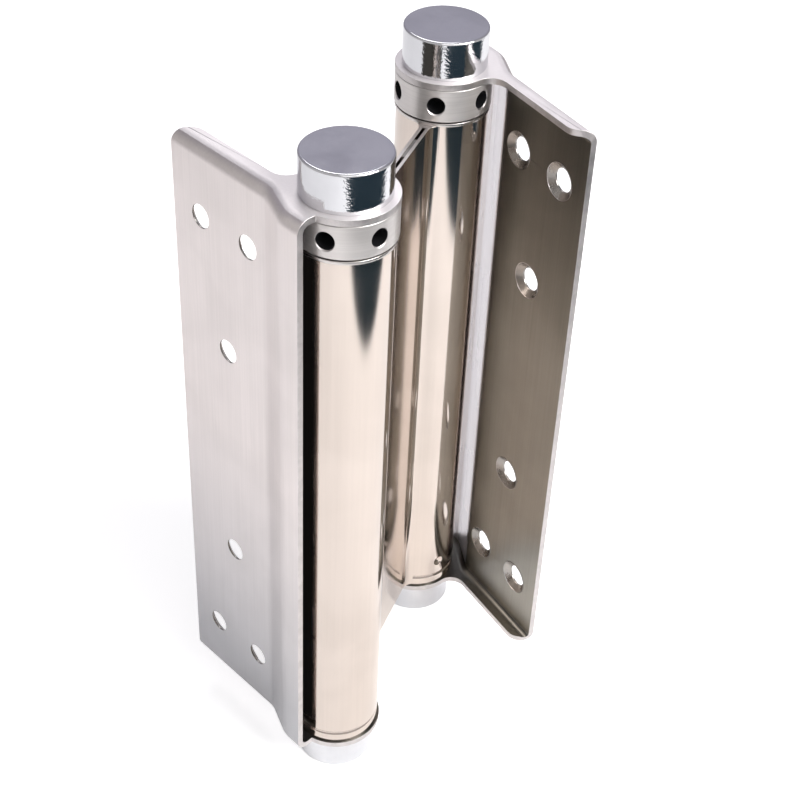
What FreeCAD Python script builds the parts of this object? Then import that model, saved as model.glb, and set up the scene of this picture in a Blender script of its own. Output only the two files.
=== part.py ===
# Double action cafe hinge: two stamped leaves on a pair of spring barrels joined by a web
import FreeCAD, Part
import Sketcher
import math
import os
from FreeCAD import Vector

doc = FreeCAD.newDocument("CafeHinge")
sheet = doc.addObject("Spreadsheet::Sheet", "Sizes")

# Driving sizes in millimetres and degrees
SIZES = [
    ("half_tall", 100.0),
    ("leaf_stock", 2.0),
    ("leaf_reach", 52.4),
    ("face_drop", 15.0),
    ("step_out", 4.6),
    ("step_begin", 14.0),
    ("step_finish", 3.0),
    ("step_bend", 8.0),
    ("leaf_tail", 4.0),
    ("flange_edge", 8.55),
    ("flange_round", 5.5),
    ("corner_round", 4.0),
    ("bend_inside", 2.0),
    ("ear_proud", 0.7),
    ("ear_blend", 5.0),
    ("screw_radius", 3.55),
    ("sink_radius", 5.65),
    ("sink_depth", 1.4),
    ("column_near", 21.2),
    ("column_far", 40.9),
    ("row_outer", 78.35),
    ("row_inner", 38.55),
    ("spindle_radius", 4.0),
    ("spindle_inset", 7.5),
    ("spindle_bevel", 0.6),
    ("cap_radius", 12.3),
    ("cap_tall", 11.6),
    ("cap_round", 0.7),
    ("barrel_space", 75.5),
    ("web_turn", 115.96),
    ("door_turn", 168.6),
    ("tube_radius", 13.5),
    ("barrel_stock", 1.0),
    ("foot_gap", 0.2),
    ("web_slot", 0.9),
    ("web_closed", 2.1),
    ("web_blend", 3.5),
    ("crimp_rise", 3.6),
    ("crimp_half", 0.9),
    ("crimp_deep", 0.45),
    ("dimple_rise", 9.7),
    ("dimple_ball", 2.4),
    ("dimple_deep", 0.5),
    ("dimple_turn", 236.1),
    ("spacer_near", 5.3),
    ("spacer_far", 15.5),
    ("spacer_inset", 0.4),
    ("bush_lip", 1.0),
    ("lip_proud", 0.4),
    ("bush_sleeve", 8.0),
    ("bush_wall", 2.1),
    ("run_gap", 0.05),
    ("washer_inset", 0.9),
    ("ear_gap", 0.1),
    ("collar_tall", 9.85),
    ("washer_stock", 0.5),
    ("collar_proud", 0.6),
    ("collar_bevel", 0.35),
    ("shank_below", 12.0),
    ("shank_recess", 2.0),
    ("tommy_radius", 2.6),
    ("tommy_deep", 8.0),
    ("tommy_rise", 4.95),
    ("tommy_bevel", 0.25),
    ("frame_collar_turn", -3.7),
    ("door_collar_turn", 6.5),
    ("plug_tall", 13.8),
    ("foot_ring_inset", 3.5),
    ("foot_ring_stock", 0.8),
    ("foot_lift", 0.05),
    ("shank_wall", 1.3),
    ("coil_wire", 2.2),
    ("coil_turns", 15.0),
    ("coil_gap", 0.3),
    ("recess_gap", 0.4),
    ("tang_deep", 5.0),
]
for row, (word, number) in enumerate(SIZES, start=1):
    sheet.set("A%d" % row, word.replace("_", " "))
    sheet.set("B%d" % row, repr(number))
    sheet.setAlias("B%d" % row, word)
doc.recompute()


def full(text):
    """Turn the sheet's bare words in a formula into references."""
    for word, _ in SIZES:
        text = text.replace("[" + word + "]", "Sizes." + word)
    return text


def number(text):
    """Evaluate a formula with the sheet's present values."""
    value = sheet.evalExpression(full(text))
    return float(getattr(value, "Value", value))


def bind(item, prop, text):
    """Drive one property by a formula on the sheet."""
    item.setExpression(prop, full(text))


def body(name):
    """Add one sub-part under its own name."""
    made = doc.addObject("PartDesign::Body", name)
    made.Label = name
    return made


def place(item, east, north, up="0", turn="0", flip="0"):
    """Put a sub-part at its seat in the shared frame."""
    spot = "vector(%s; %s; %s)" % (east, north, up)
    spin = "rotation(vector(0; 0; 1); %s) * rotation(vector(1; 0; 0); %s)" % (turn, flip)
    bind(item, "Placement", "placement(%s; %s)" % (spot, spin))


def origin_plane(owner, role):
    """Find one of a body's own origin planes."""
    for item in owner.Origin.OriginFeatures:
        if item.Role == role:
            return item


def sketch(owner, name, role, lift=None):
    """Open a sketch on an origin plane, lifted along its normal."""
    made = owner.newObject("Sketcher::SketchObject", name)
    made.AttachmentSupport = [(origin_plane(owner, role), "")]
    made.MapMode = "FlatFace"
    if lift is not None:
        bind(made, "AttachmentOffset.Base.z", lift)
    return made


def pin(made, geo, pos, x, y):
    """Hold a sketch point at two driven coordinates."""
    for kind, text in (("DistanceX", x), ("DistanceY", y)):
        index = made.addConstraint(Sketcher.Constraint(kind, -1, 1, geo, pos, number(text)))
        bind(made, "Constraints[%d]" % index, text)


def circle(made, x, y, radius):
    """Draw a driven circle."""
    spot = Vector(number(x), number(y), 0)
    geo = made.addGeometry(Part.Circle(spot, Vector(0, 0, 1), number(radius)))
    pin(made, geo, 3, x, y)
    index = made.addConstraint(Sketcher.Constraint("Radius", geo, number(radius)))
    bind(made, "Constraints[%d]" % index, radius)
    return geo


def outline(made, corners):
    """Draw a closed outline through driven corners, some of them rounded."""
    count = len(corners)
    spots = [Vector(number(c[0]), number(c[1]), 0) for c in corners]
    starts, ends, arcs = [], [], []
    for i, corner in enumerate(corners):
        radius = number(corner[2]) if len(corner) > 2 else 0.0
        back = (spots[i - 1] - spots[i]).normalize()
        ahead = (spots[(i + 1) % count] - spots[i]).normalize()
        if radius <= 0:
            ends.append(spots[i])
            starts.append(spots[i])
            arcs.append(None)
            continue
        half = back.getAngle(ahead) / 2
        trim = radius / math.tan(half)
        middle = spots[i] + (back + ahead).normalize() * (radius / math.sin(half))
        left = back.cross(ahead).z < 0
        ends.append(spots[i] + back * trim)
        starts.append(spots[i] + ahead * trim)
        arcs.append((middle, radius, left))
    lines = []
    for i in range(count):
        far = ends[(i + 1) % count]
        lines.append(made.addGeometry(Part.LineSegment(starts[i], far)))
    for i, corner in enumerate(corners):
        before, after = lines[i - 1], lines[i]
        if arcs[i] is None:
            made.addConstraint(Sketcher.Constraint("Coincident", before, 2, after, 1))
            pin(made, after, 1, corner[0], corner[1])
            continue
        middle, radius, left = arcs[i]
        first, last = (ends[i], starts[i]) if left else (starts[i], ends[i])
        low = math.atan2(first.y - middle.y, first.x - middle.x)
        high = math.atan2(last.y - middle.y, last.x - middle.x)
        ring = Part.Circle(middle, Vector(0, 0, 1), radius)
        arc = made.addGeometry(Part.ArcOfCircle(ring, low, high if high > low else high + 2 * math.pi))
        tip = made.addGeometry(Part.Point(spots[i]), True)
        pin(made, tip, 1, corner[0], corner[1])
        made.addConstraint(Sketcher.Constraint("PointOnObject", tip, 1, before))
        made.addConstraint(Sketcher.Constraint("PointOnObject", tip, 1, after))
        near, away = (1, 2) if left else (2, 1)
        made.addConstraint(Sketcher.Constraint("Tangent", before, 2, arc, near))
        made.addConstraint(Sketcher.Constraint("Tangent", arc, away, after, 1))
        index = made.addConstraint(Sketcher.Constraint("Radius", arc, radius))
        bind(made, "Constraints[%d]" % index, corner[2])


def pad(owner, name, profile, length):
    """Raise a sketch into the solid."""
    made = owner.newObject("PartDesign::Pad", name)
    made.Profile = profile
    bind(made, "Length", length)
    doc.recompute()
    return made


def pocket(owner, name, profile, length, backwards=False):
    """Cut a sketch into the solid and check that it removes metal."""
    before = owner.Shape.Volume
    made = owner.newObject("PartDesign::Pocket", name)
    made.Profile = profile
    made.Reversed = backwards
    bind(made, "Length", length)
    doc.recompute()
    if made.Shape.Volume > before - 1e-3:
        raise RuntimeError(name + " removes nothing")
    return made


def turned(owner, name, profile, kind="PartDesign::Revolution"):
    """Turn a sketch about the sketch's upright axis."""
    made = owner.newObject(kind, name)
    made.Profile = profile
    made.ReferenceAxis = (profile, ["V_Axis"])
    made.Angle = 360
    doc.recompute()
    return made


def chosen(shape, rule):
    """Name the edges that answer a rule."""
    return ["Edge%d" % i for i, edge in enumerate(shape.Edges, start=1) if rule(edge)]


def dress(owner, name, kind, prop, size, base, rule):
    """Round or bevel the edges that answer a rule."""
    names = chosen(base.Shape, rule)
    if not names:
        raise RuntimeError(name + " finds no edge")
    made = owner.newObject(kind, name)
    made.Base = (base, names)
    bind(made, prop, size)
    doc.recompute()
    return made


def rounded(owner, name, size, base, rule):
    return dress(owner, name, "PartDesign::Fillet", "Radius", size, base, rule)


def bevelled(owner, name, size, base, rule):
    return dress(owner, name, "PartDesign::Chamfer", "Size", size, base, rule)


def patterned(owner, name, features, count):
    """Repeat features round the body's upright axis."""
    made = owner.newObject("PartDesign::PolarPattern", name)
    made.Originals = features
    made.Axis = (origin_plane(owner, "Z_Axis"), [""])
    made.Angle = 360
    made.Occurrences = count
    owner.Tip = made
    doc.recompute()
    return made


def level(edge, height, slack=0.01):
    box = edge.BoundBox
    return abs(box.ZMin - height) < slack and abs(box.ZMax - height) < slack


def ring_at(edge, height, radius):
    curve = edge.Curve
    return level(edge, height) and hasattr(curve, "Radius") and abs(curve.Radius - radius) < 0.01


def upright(edge, x, y):
    box = edge.BoundBox
    flat = box.XLength < 0.01 and box.YLength < 0.01
    return flat and abs(box.XMin - x) < 0.05 and abs(box.YMin - y) < 0.05


# Levels that follow from the leaf's ears, stacked with their own thicknesses and gaps
COLLAR_TOP = "([half_tall] - [leaf_stock] - [ear_gap])"
COLLAR_FOOT = "(" + COLLAR_TOP + " - [collar_tall])"
TOMMY_LEVEL = "(" + COLLAR_FOOT + " + [tommy_rise])"
BUSH_TOP = "(" + COLLAR_FOOT + " - [run_gap] - [washer_stock])"
TUBE_TOP = "(" + BUSH_TOP + " - [bush_lip])"
TUBE_FOOT = "([half_tall] - [leaf_stock] - [foot_gap])"
TUBE_TALL = "(" + TUBE_FOOT + " + " + TUBE_TOP + ")"
CRIMP = "(" + TUBE_FOOT + " - [crimp_rise])"
DIMPLE = "(" + TUBE_FOOT + " - [dimple_rise])"
PLUG_TOP = "(" + TUBE_FOOT + " - [plug_tall])"
FOOT_RING_FOOT = "(-[half_tall] + [leaf_stock] + [foot_lift])"
FOOT_RING_TOP = "(" + FOOT_RING_FOOT + " + [foot_ring_stock])"

# Radii that follow from the tube, working inwards and outwards from its wall
TUBE_BORE = "([tube_radius] - [barrel_stock])"
SHANK = "(" + TUBE_BORE + " - [bush_wall])"
RECESS = "(" + SHANK + " - [shank_wall])"
COIL_OUT = "(" + RECESS + " - [recess_gap])"
COIL_IN = "(" + COIL_OUT + " - [coil_wire])"
COLLAR = "([tube_radius] + [collar_proud])"
EAR = "([tube_radius] + [ear_proud])"
LIP = "([tube_radius] + [lip_proud])"
WASHER = "([tube_radius] - [washer_inset])"
FOOT_RING = "(" + TUBE_BORE + " - [foot_ring_inset])"

# Where the two barrel axes stand, measured from the middle of the frame leaf's mounting face
AXIS_EAST = "([column_near] + [column_far]) / 2"
AXIS_NORTH = "[face_drop]"
DOOR_EAST = AXIS_EAST + " + [barrel_space] * cos([web_turn])"
DOOR_NORTH = AXIS_NORTH + " + [barrel_space] * sin([web_turn])"
WEB_EAST = AXIS_EAST + " + [barrel_space] / 2 * cos([web_turn])"
WEB_NORTH = AXIS_NORTH + " + [barrel_space] / 2 * sin([web_turn])"
SIDES = {"frame": (AXIS_EAST, AXIS_NORTH, "0"), "door": (DOOR_EAST, DOOR_NORTH, "[door_turn]")}

# Angle of the step's slope, its miter and the plain corners of the folded sheet in plan
SLOPE = "atan([step_out] / ([step_begin] - [step_finish]))"
MITER = "[leaf_stock] * tan(" + SLOPE + " / 2)"
FAR = "-[leaf_reach]"
FACE = "-[face_drop]"
LOW = "-([face_drop] + [step_out])"
OUTER_BEND = "([step_bend] + [leaf_stock])"


def leaf(name, seat):
    """Fold one leaf: plate with a step, flange and ear at each end, screw holes."""
    made = body(name)
    plan = sketch(made, name + "_plan", "XY_Plane", "-[half_tall]")
    outline(plan, [
        (FAR, FACE),
        ("-[step_begin]", FACE, "[step_bend]"),
        ("-[step_finish]", LOW, OUTER_BEND),
        ("[leaf_tail]", LOW),
        ("[leaf_tail]", LOW + " + [leaf_stock]"),
        ("-[step_finish] + " + MITER, LOW + " + [leaf_stock]", "[step_bend]"),
        ("-[step_begin] + " + MITER, FACE + " + [leaf_stock]", OUTER_BEND),
        (FAR, FACE + " + [leaf_stock]"),
    ])
    pad(made, name + "_plate", plan, "2 * [half_tall]")
    ends = (("top", "[half_tall] - [leaf_stock]"), ("foot", "-[half_tall]"))
    for end, lift in ends:
        flange = sketch(made, name + "_" + end + "_flange_plan", "XY_Plane", lift)
        outline(flange, [
            (FAR, FACE),
            ("-[step_begin]", FACE, "[step_bend]"),
            ("-[step_finish]", LOW, OUTER_BEND),
            ("[leaf_tail]", LOW),
            ("[leaf_tail]", "0"),
            ("0", "0"),
            ("0", "-[flange_edge]"),
            (FAR, "-[flange_edge]", "[flange_round]"),
        ])
        pad(made, name + "_" + end + "_flange", flange, "[leaf_stock]")
        ear = sketch(made, name + "_" + end + "_ear_plan", "XY_Plane", lift)
        circle(ear, "0", "0", EAR)
        last = pad(made, name + "_" + end + "_ear", ear, "[leaf_stock]")

    # the flange runs into the round ear through a hollow corner
    join_x = -math.sqrt(number(EAR) ** 2 - number("[flange_edge]") ** 2)
    join_y = -number("[flange_edge]")
    last = rounded(made, name + "_ear_blend", "[ear_blend]", last, lambda e: upright(e, join_x, join_y))

    # folds between plate and flanges
    tall, stock = number("[half_tall]"), number("[leaf_stock]")
    low, face = number(LOW), number(FACE)

    def outside(edge):
        box = edge.BoundBox
        flat = level(edge, tall) or level(edge, -tall)
        return flat and box.YMin > low - 0.01 and box.YMax < face + 0.01 and box.XLength > 0.05

    def inside(edge):
        box = edge.BoundBox
        flat = level(edge, tall - stock) or level(edge, stock - tall)
        in_band = box.YMin > low + stock - 0.01 and box.YMax < face + stock + 0.01
        return flat and in_band and box.XLength > 0.05

    last = rounded(made, name + "_outer_fold", "[bend_inside] + [leaf_stock]", last, outside)
    last = rounded(made, name + "_inner_fold", "[bend_inside]", last, inside)

    # rounded outer corners of the plate
    corner = sketch(made, name + "_corner_plan", "XZ_Plane", "-[flange_edge]")
    for side in ("", "-"):
        edge_z = side + "[half_tall]"
        inner_z = side + "([half_tall] - [corner_round])"
        over_z = side + "([half_tall] + [corner_round])"
        outline(corner, [
            (FAR, inner_z),
            (FAR, edge_z, "[corner_round] * 0.999"),
            (FAR + " + [corner_round]", edge_z),
            (FAR + " + [corner_round]", over_z),
            (FAR + " - [corner_round]", over_z),
            (FAR + " - [corner_round]", inner_z),
        ])
    last = pocket(made, name + "_corners", corner, "[face_drop] * 3", True)
    made.Tip = last

    # bore for the spindle through both ears
    bore = sketch(made, name + "_bore_plan", "XY_Plane", "-[half_tall]")
    circle(bore, "0", "0", "[spindle_radius]")
    pocket(made, name + "_bore", bore, "2 * [half_tall]", True)

    # six screw holes with sinks that open toward the barrel side
    spots = []
    for column, rise in (("near", "outer"), ("near", "-outer"), ("far", "outer"), ("far", "-outer")):
        up = "-[row_outer]" if rise.startswith("-") else "[row_outer]"
        spots.append(("-[column_%s]" % column, up))
    middle = "-([column_near] + [column_far]) / 2"
    spots.append((middle, "[row_inner]"))
    spots.append((middle, "-[row_inner]"))
    holes = sketch(made, name + "_screw_plan", "XZ_Plane", "[face_drop] - [leaf_stock]")
    for east, up in spots:
        circle(holes, east, up, "[screw_radius]")
    drilled = made.newObject("PartDesign::Hole", name + "_screw_holes")
    drilled.Profile = holes
    drilled.Reversed = True
    drilled.DepthType = "Dimension"
    drilled.DrillPoint = "Flat"
    bind(drilled, "Depth", "2 * [leaf_stock]")
    bind(drilled, "Diameter", "2 * [screw_radius]")
    drilled.HoleCutType = "Countersink"
    drilled.HoleCutCustomValues = True
    bind(drilled, "HoleCutDiameter", "2 * [sink_radius]")
    bind(drilled, "HoleCutCountersinkAngle", "2 * atan(([sink_radius] - [screw_radius]) / [sink_depth])")
    doc.recompute()
    place(made, seat[0], seat[1], "0", seat[2])
    return made


def barrel_sheet():
    """Roll one sheet into two tubes with a double web between them."""
    made = body("barrel_sheet")
    half = "[barrel_space] / 2"
    for side, sign in (("frame", "-"), ("door", "")):
        ring = sketch(made, side + "_tube_plan", "XY_Plane", "-" + TUBE_FOOT)
        circle(ring, sign + half, "0", "[tube_radius]")
        if side == "frame":
            pad(made, side + "_tube", ring, TUBE_TALL)
            web = sketch(made, "web_plan", "XY_Plane", "-" + TUBE_FOOT)
            thick = "([web_slot] / 2 + [barrel_stock])"
            outline(web, [
                ("-" + half, "-" + thick),
                (half, "-" + thick),
                (half, thick),
                ("-" + half, thick),
            ])
            pad(made, "web_layers", web, TUBE_TALL)
        else:
            last = pad(made, side + "_tube", ring, TUBE_TALL)
    thick = number("[web_slot] / 2 + [barrel_stock]")
    reach = number("[barrel_space]") / 2 - math.sqrt(number("[tube_radius]") ** 2 - thick ** 2)

    def seam(edge):
        box = edge.BoundBox
        spot = abs(abs(box.XMin) - reach) < 0.05 and abs(abs(box.YMin) - thick) < 0.05
        return spot and box.XLength < 0.01 and box.YLength < 0.01 and box.ZLength > 1

    last = rounded(made, "web_roots", "[web_blend]", last, seam)
    bores = sketch(made, "tube_bores_plan", "XY_Plane", "-" + TUBE_FOOT)
    circle(bores, "-" + half, "0", TUBE_BORE)
    circle(bores, half, "0", TUBE_BORE)
    pocket(made, "tube_bores", bores, TUBE_TALL, True)
    slot = sketch(made, "web_slot_plan", "XY_Plane", "-" + TUBE_FOOT)
    end = "(" + half + " - [tube_radius] - [web_closed])"
    outline(slot, [
        ("-" + end, "-[web_slot] / 2"),
        (end, "-[web_slot] / 2"),
        (end, "[web_slot] / 2"),
        ("-" + end, "[web_slot] / 2"),
    ])
    pocket(made, "web_gap", slot, TUBE_TALL, True)

    # rolled line that grips the plug, hollow outside and raised inside
    crimp = sketch(made, "crimp_plan", "XZ_Plane")
    bulge = sketch(made, "bulge_plan", "XZ_Plane")
    for plan, radius, root in ((crimp, "[tube_radius]", "0.05"), (bulge, TUBE_BORE, "0")):
        skin = half + " + (" + radius + ")"
        outline(plan, [
            (skin + " + " + root, "-" + CRIMP + " - [crimp_half]"),
            (skin + " + " + root, "-" + CRIMP + " + [crimp_half]"),
            (skin + " - [crimp_deep]", "-" + CRIMP + " + [crimp_half] * 0.3"),
            (skin + " - [crimp_deep]", "-" + CRIMP + " - [crimp_half] * 0.3"),
        ])
        east, north = number(half), number("[tube_radius]")
        axis = plan.addGeometry(Part.LineSegment(Vector(east, 0, 0), Vector(east, north, 0)), True)
        pin(plan, axis, 1, half, "0")
        pin(plan, axis, 2, half, "[tube_radius]")
    groove = made.newObject("PartDesign::Groove", "crimp_groove")
    groove.Profile = crimp
    groove.ReferenceAxis = (crimp, ["Axis0"])
    groove.Angle = 360
    doc.recompute()
    raised = made.newObject("PartDesign::Revolution", "crimp_bulge")
    raised.Profile = bulge
    raised.ReferenceAxis = (bulge, ["Axis0"])
    raised.Angle = 360
    doc.recompute()

    # pressed dimple that keys the plug
    ball = made.newObject("PartDesign::SubtractiveSphere", "dimple")
    ball.AttachmentSupport = [(origin_plane(made, "XY_Plane"), "")]
    ball.MapMode = "FlatFace"
    away = "([tube_radius] + [dimple_ball] - [dimple_deep])"
    bind(ball, "Radius", "[dimple_ball]")
    bind(ball, "AttachmentOffset.Base.x", half + " + " + away + " * cos([dimple_turn])")
    bind(ball, "AttachmentOffset.Base.y", away + " * sin([dimple_turn])")
    bind(ball, "AttachmentOffset.Base.z", "-" + DIMPLE)
    doc.recompute()
    patterned(made, "both_barrels", [groove, raised, ball], 2)
    place(made, WEB_EAST, WEB_NORTH, "0", "[web_turn]")
    return made


def spacer(name, sign):
    """Cut one strip that keeps the web's two layers apart."""
    made = body(name)
    plan = sketch(made, name + "_plan", "XY_Plane", "-" + TUBE_FOOT + " + [spacer_inset]")
    outline(plan, [
        (sign + "[spacer_near]", "-[web_slot] / 2"),
        (sign + "[spacer_far]", "-[web_slot] / 2"),
        (sign + "[spacer_far]", "[web_slot] / 2"),
        (sign + "[spacer_near]", "[web_slot] / 2"),
    ])
    pad(made, name + "_strip", plan, TUBE_TALL + " - 2 * [spacer_inset]")
    place(made, WEB_EAST, WEB_NORTH, "0", "[web_turn]")


def cap(name, seat, up, flip):
    """Turn one cap with a blind bore pressed on the spindle's end."""
    made = body(name)
    plan = sketch(made, name + "_plan", "XY_Plane")
    circle(plan, "0", "0", "[cap_radius]")
    last = pad(made, name + "_puck", plan, "[cap_tall]")
    tall, radius = number("[cap_tall]"), number("[cap_radius]")
    last = rounded(made, name + "_edge", "[cap_round]", last, lambda e: ring_at(e, tall, radius))
    bore = sketch(made, name + "_bore_plan", "XY_Plane")
    circle(bore, "0", "0", "[spindle_radius]")
    pocket(made, name + "_bore", bore, "[spindle_inset]", True)
    place(made, seat[0], seat[1], up, "0", flip)


def spindle(name, seat):
    """Turn the rod that runs from cap to cap."""
    made = body(name)
    plan = sketch(made, name + "_plan", "XY_Plane", "-[half_tall] - [spindle_inset]")
    circle(plan, "0", "0", "[spindle_radius]")
    last = pad(made, name + "_rod", plan, "2 * ([half_tall] + [spindle_inset])")
    reach = number("[half_tall] + [spindle_inset]")
    bevelled(made, name + "_ends", "[spindle_bevel]", last, lambda e: level(e, reach) or level(e, -reach))
    place(made, seat[0], seat[1])


def collar(name, seat, turn):
    """Turn one tension collar with a shank and six radial holes."""
    made = body(name)
    plan = sketch(made, name + "_plan", "XZ_Plane")
    bore = "[spindle_radius] + [run_gap]"
    outline(plan, [
        (bore, COLLAR_FOOT + " - [shank_below] + [shank_recess]"),
        (RECESS, COLLAR_FOOT + " - [shank_below] + [shank_recess]"),
        (RECESS, COLLAR_FOOT + " - [shank_below]"),
        (SHANK, COLLAR_FOOT + " - [shank_below]"),
        (SHANK, COLLAR_FOOT),
        (COLLAR, COLLAR_FOOT),
        (COLLAR, COLLAR_TOP),
        (bore, COLLAR_TOP),
    ])
    last = turned(made, name + "_turning", plan)
    rim, foot, top = number(COLLAR), number(COLLAR_FOOT), number(COLLAR_TOP)
    last = bevelled(made, name + "_edges", "[collar_bevel]", last,
                    lambda e: ring_at(e, foot, rim) or ring_at(e, top, rim))
    hole = sketch(made, name + "_tommy_plan", "YZ_Plane", COLLAR + " - [tommy_deep]")
    circle(hole, "0", TOMMY_LEVEL, "[tommy_radius]")
    cut = pocket(made, name + "_tommy_hole", hole, "1.5 * [tommy_deep]", True)
    last = patterned(made, name + "_tommy_holes", [cut], 6)
    mid, hole_r = number(TOMMY_LEVEL), number("[tommy_radius]")

    def mouth(edge):
        box = edge.BoundBox
        reach = max(vertex.Point.x ** 2 + vertex.Point.y ** 2 for vertex in edge.Vertexes) ** 0.5
        near = abs(box.ZMax - mid - hole_r) < 0.1 or abs(box.ZMin - mid + hole_r) < 0.1
        return near and abs(reach - rim) < 0.2 and box.ZLength > hole_r * 0.9

    bevelled(made, name + "_hole_rims", "[tommy_bevel]", last, mouth)
    place(made, seat[0], seat[1], "0", turn)


def upper_bush(name, seat):
    """Turn the bush that carries the collar in the tube's mouth."""
    made = body(name)
    plan = sketch(made, name + "_plan", "XZ_Plane")
    outline(plan, [
        (SHANK + " + [run_gap]", TUBE_TOP + " - [bush_sleeve]"),
        (TUBE_BORE, TUBE_TOP + " - [bush_sleeve]"),
        (TUBE_BORE, TUBE_TOP),
        (LIP, TUBE_TOP),
        (LIP, BUSH_TOP),
        (SHANK + " + [run_gap]", BUSH_TOP),
    ])
    turned(made, name + "_turning", plan)
    place(made, seat[0], seat[1])


def ring(name, seat, inner, outer, foot, top):
    """Turn one flat washer."""
    made = body(name)
    plan = sketch(made, name + "_plan", "XZ_Plane")
    outline(plan, [(inner, foot), (outer, foot), (outer, top), (inner, top)])
    turned(made, name + "_turning", plan)
    place(made, seat[0], seat[1])


def lower_plug(name, seat):
    """Turn the plug gripped in the tube's foot, with a seat for the spring's end."""
    made = body(name)
    plan = sketch(made, name + "_plan", "XZ_Plane")
    outline(plan, [
        ("[spindle_radius] + [run_gap]", FOOT_RING_TOP),
        (FOOT_RING, FOOT_RING_TOP),
        (FOOT_RING, "-" + TUBE_FOOT),
        (TUBE_BORE, "-" + TUBE_FOOT),
        (TUBE_BORE, "-" + CRIMP + " - [crimp_half]"),
        (TUBE_BORE + " - [crimp_deep]", "-" + CRIMP + " - [crimp_half] * 0.3"),
        (TUBE_BORE + " - [crimp_deep]", "-" + CRIMP + " + [crimp_half] * 0.3"),
        (TUBE_BORE, "-" + CRIMP + " + [crimp_half]"),
        (TUBE_BORE, "-" + PLUG_TOP),
        ("[spindle_radius] + [run_gap]", "-" + PLUG_TOP),
    ])
    turned(made, name + "_turning", plan)
    hole = sketch(made, name + "_tang_plan", "XY_Plane", "-" + PLUG_TOP + " - [tang_deep]")
    tang(hole)
    pocket(made, name + "_tang_hole", hole, "2 * [tang_deep]", True)
    place(made, seat[0], seat[1])


def tang(plan):
    """Draw the spring's square end seen from above."""
    outline(plan, [
        (COIL_IN, "0"),
        (COIL_OUT, "0"),
        (COIL_OUT, "[coil_wire]"),
        (COIL_IN, "[coil_wire]"),
    ])


def spring(name, seat):
    """Wind the torsion spring with its lower end bent down into the plug."""
    made = body(name)
    tail = sketch(made, name + "_tang_plan", "XY_Plane", "-" + PLUG_TOP + " - [tang_deep]")
    tang(tail)
    pad(made, name + "_tang", tail, "[tang_deep] + [coil_wire] / 2")
    wire = sketch(made, name + "_wire_plan", "XZ_Plane")
    outline(wire, [
        (COIL_IN, "-" + PLUG_TOP),
        (COIL_OUT, "-" + PLUG_TOP),
        (COIL_OUT, "-" + PLUG_TOP + " + [coil_wire]"),
        (COIL_IN, "-" + PLUG_TOP + " + [coil_wire]"),
    ])
    coil = made.newObject("PartDesign::AdditiveHelix", name + "_coil")
    coil.Profile = wire
    coil.ReferenceAxis = (wire, ["V_Axis"])
    coil.Mode = "height-turns-angle"
    room = COLLAR_FOOT + " - [shank_below] + [shank_recess] - [coil_gap] + " + PLUG_TOP + " - [coil_wire]"
    bind(coil, "Height", room)
    bind(coil, "Turns", "[coil_turns]")
    doc.recompute()
    place(made, seat[0], seat[1])


barrel_sheet()
spacer("frame_web_spacer", "-")
spacer("door_web_spacer", "")
for side, seat in SIDES.items():
    leaf(side + "_leaf", seat)
    cap(side + "_top_cap", seat, "[half_tall]", "0")
    cap(side + "_bottom_cap", seat, "-[half_tall]", "180")
    spindle(side + "_spindle", seat)
    collar(side + "_tension_collar", seat, "[%s_collar_turn]" % side)
    upper_bush(side + "_upper_bush", seat)
    ring(side + "_collar_washer", seat, SHANK + " + [run_gap]", WASHER,
         BUSH_TOP, COLLAR_FOOT + " - [run_gap]")
    lower_plug(side + "_lower_plug", seat)
    ring(side + "_foot_washer", seat, "[spindle_radius] + [run_gap]", FOOT_RING,
         FOOT_RING_FOOT, FOOT_RING_TOP)
    spring(side + "_spring", seat)
doc.recompute()

# Check every object, then write one file for each sub-part
for item in doc.Objects:
    if "Invalid" in item.State or "Error" in item.State:
        raise RuntimeError(item.Name + " failed: " + ", ".join(item.State))
os.makedirs("parts", exist_ok=True)
for item in doc.Objects:
    if item.TypeId != "PartDesign::Body":
        continue
    shape = item.Shape
    if shape.isNull() or not shape.isValid() or len(shape.Solids) != 1:
        raise RuntimeError(item.Label + " is not one sound solid")
    shape.exportStep("parts/%s.step" % item.Label)
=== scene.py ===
"""Looks of a double action cafe hinge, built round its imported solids."""

import logging
import math
from contextlib import contextmanager
from dataclasses import dataclass, field
from enum import Enum
from typing import Callable, Iterator, Optional, Sequence

import bmesh
import bpy
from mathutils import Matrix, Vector


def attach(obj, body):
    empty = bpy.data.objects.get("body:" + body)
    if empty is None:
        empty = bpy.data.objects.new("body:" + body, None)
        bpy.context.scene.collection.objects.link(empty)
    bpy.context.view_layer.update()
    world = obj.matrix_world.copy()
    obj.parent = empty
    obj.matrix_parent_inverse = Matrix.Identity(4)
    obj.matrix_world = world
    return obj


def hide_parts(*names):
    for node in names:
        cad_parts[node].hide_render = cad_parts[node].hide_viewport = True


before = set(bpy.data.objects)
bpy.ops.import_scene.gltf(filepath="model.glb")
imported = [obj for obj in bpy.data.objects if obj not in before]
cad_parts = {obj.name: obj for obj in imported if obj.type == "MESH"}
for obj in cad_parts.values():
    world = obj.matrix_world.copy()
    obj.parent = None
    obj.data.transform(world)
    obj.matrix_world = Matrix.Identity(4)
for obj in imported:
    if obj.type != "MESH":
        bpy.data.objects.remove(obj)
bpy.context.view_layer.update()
MM = 0.001
log = logging.getLogger("cafe_hinge")


class Side(Enum):
    """The two halves of the hinge."""

    FRAME = "frame"
    DOOR = "door"


class Part(Enum):
    """What a selection rule looks at."""

    VERTS = "VERT"
    EDGES = "EDGE"
    FACES = "FACE"


@dataclass(frozen=True)
class Seat:
    """Where one barrel stands: its axis in plan and the leaf's turn about it."""

    east: float
    north: float
    turn: float

    @property
    def spot(self) -> Vector:
        """The axis on the middle plane, in metres."""
        return Vector((self.east, self.north, 0.0)) * MM


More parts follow.
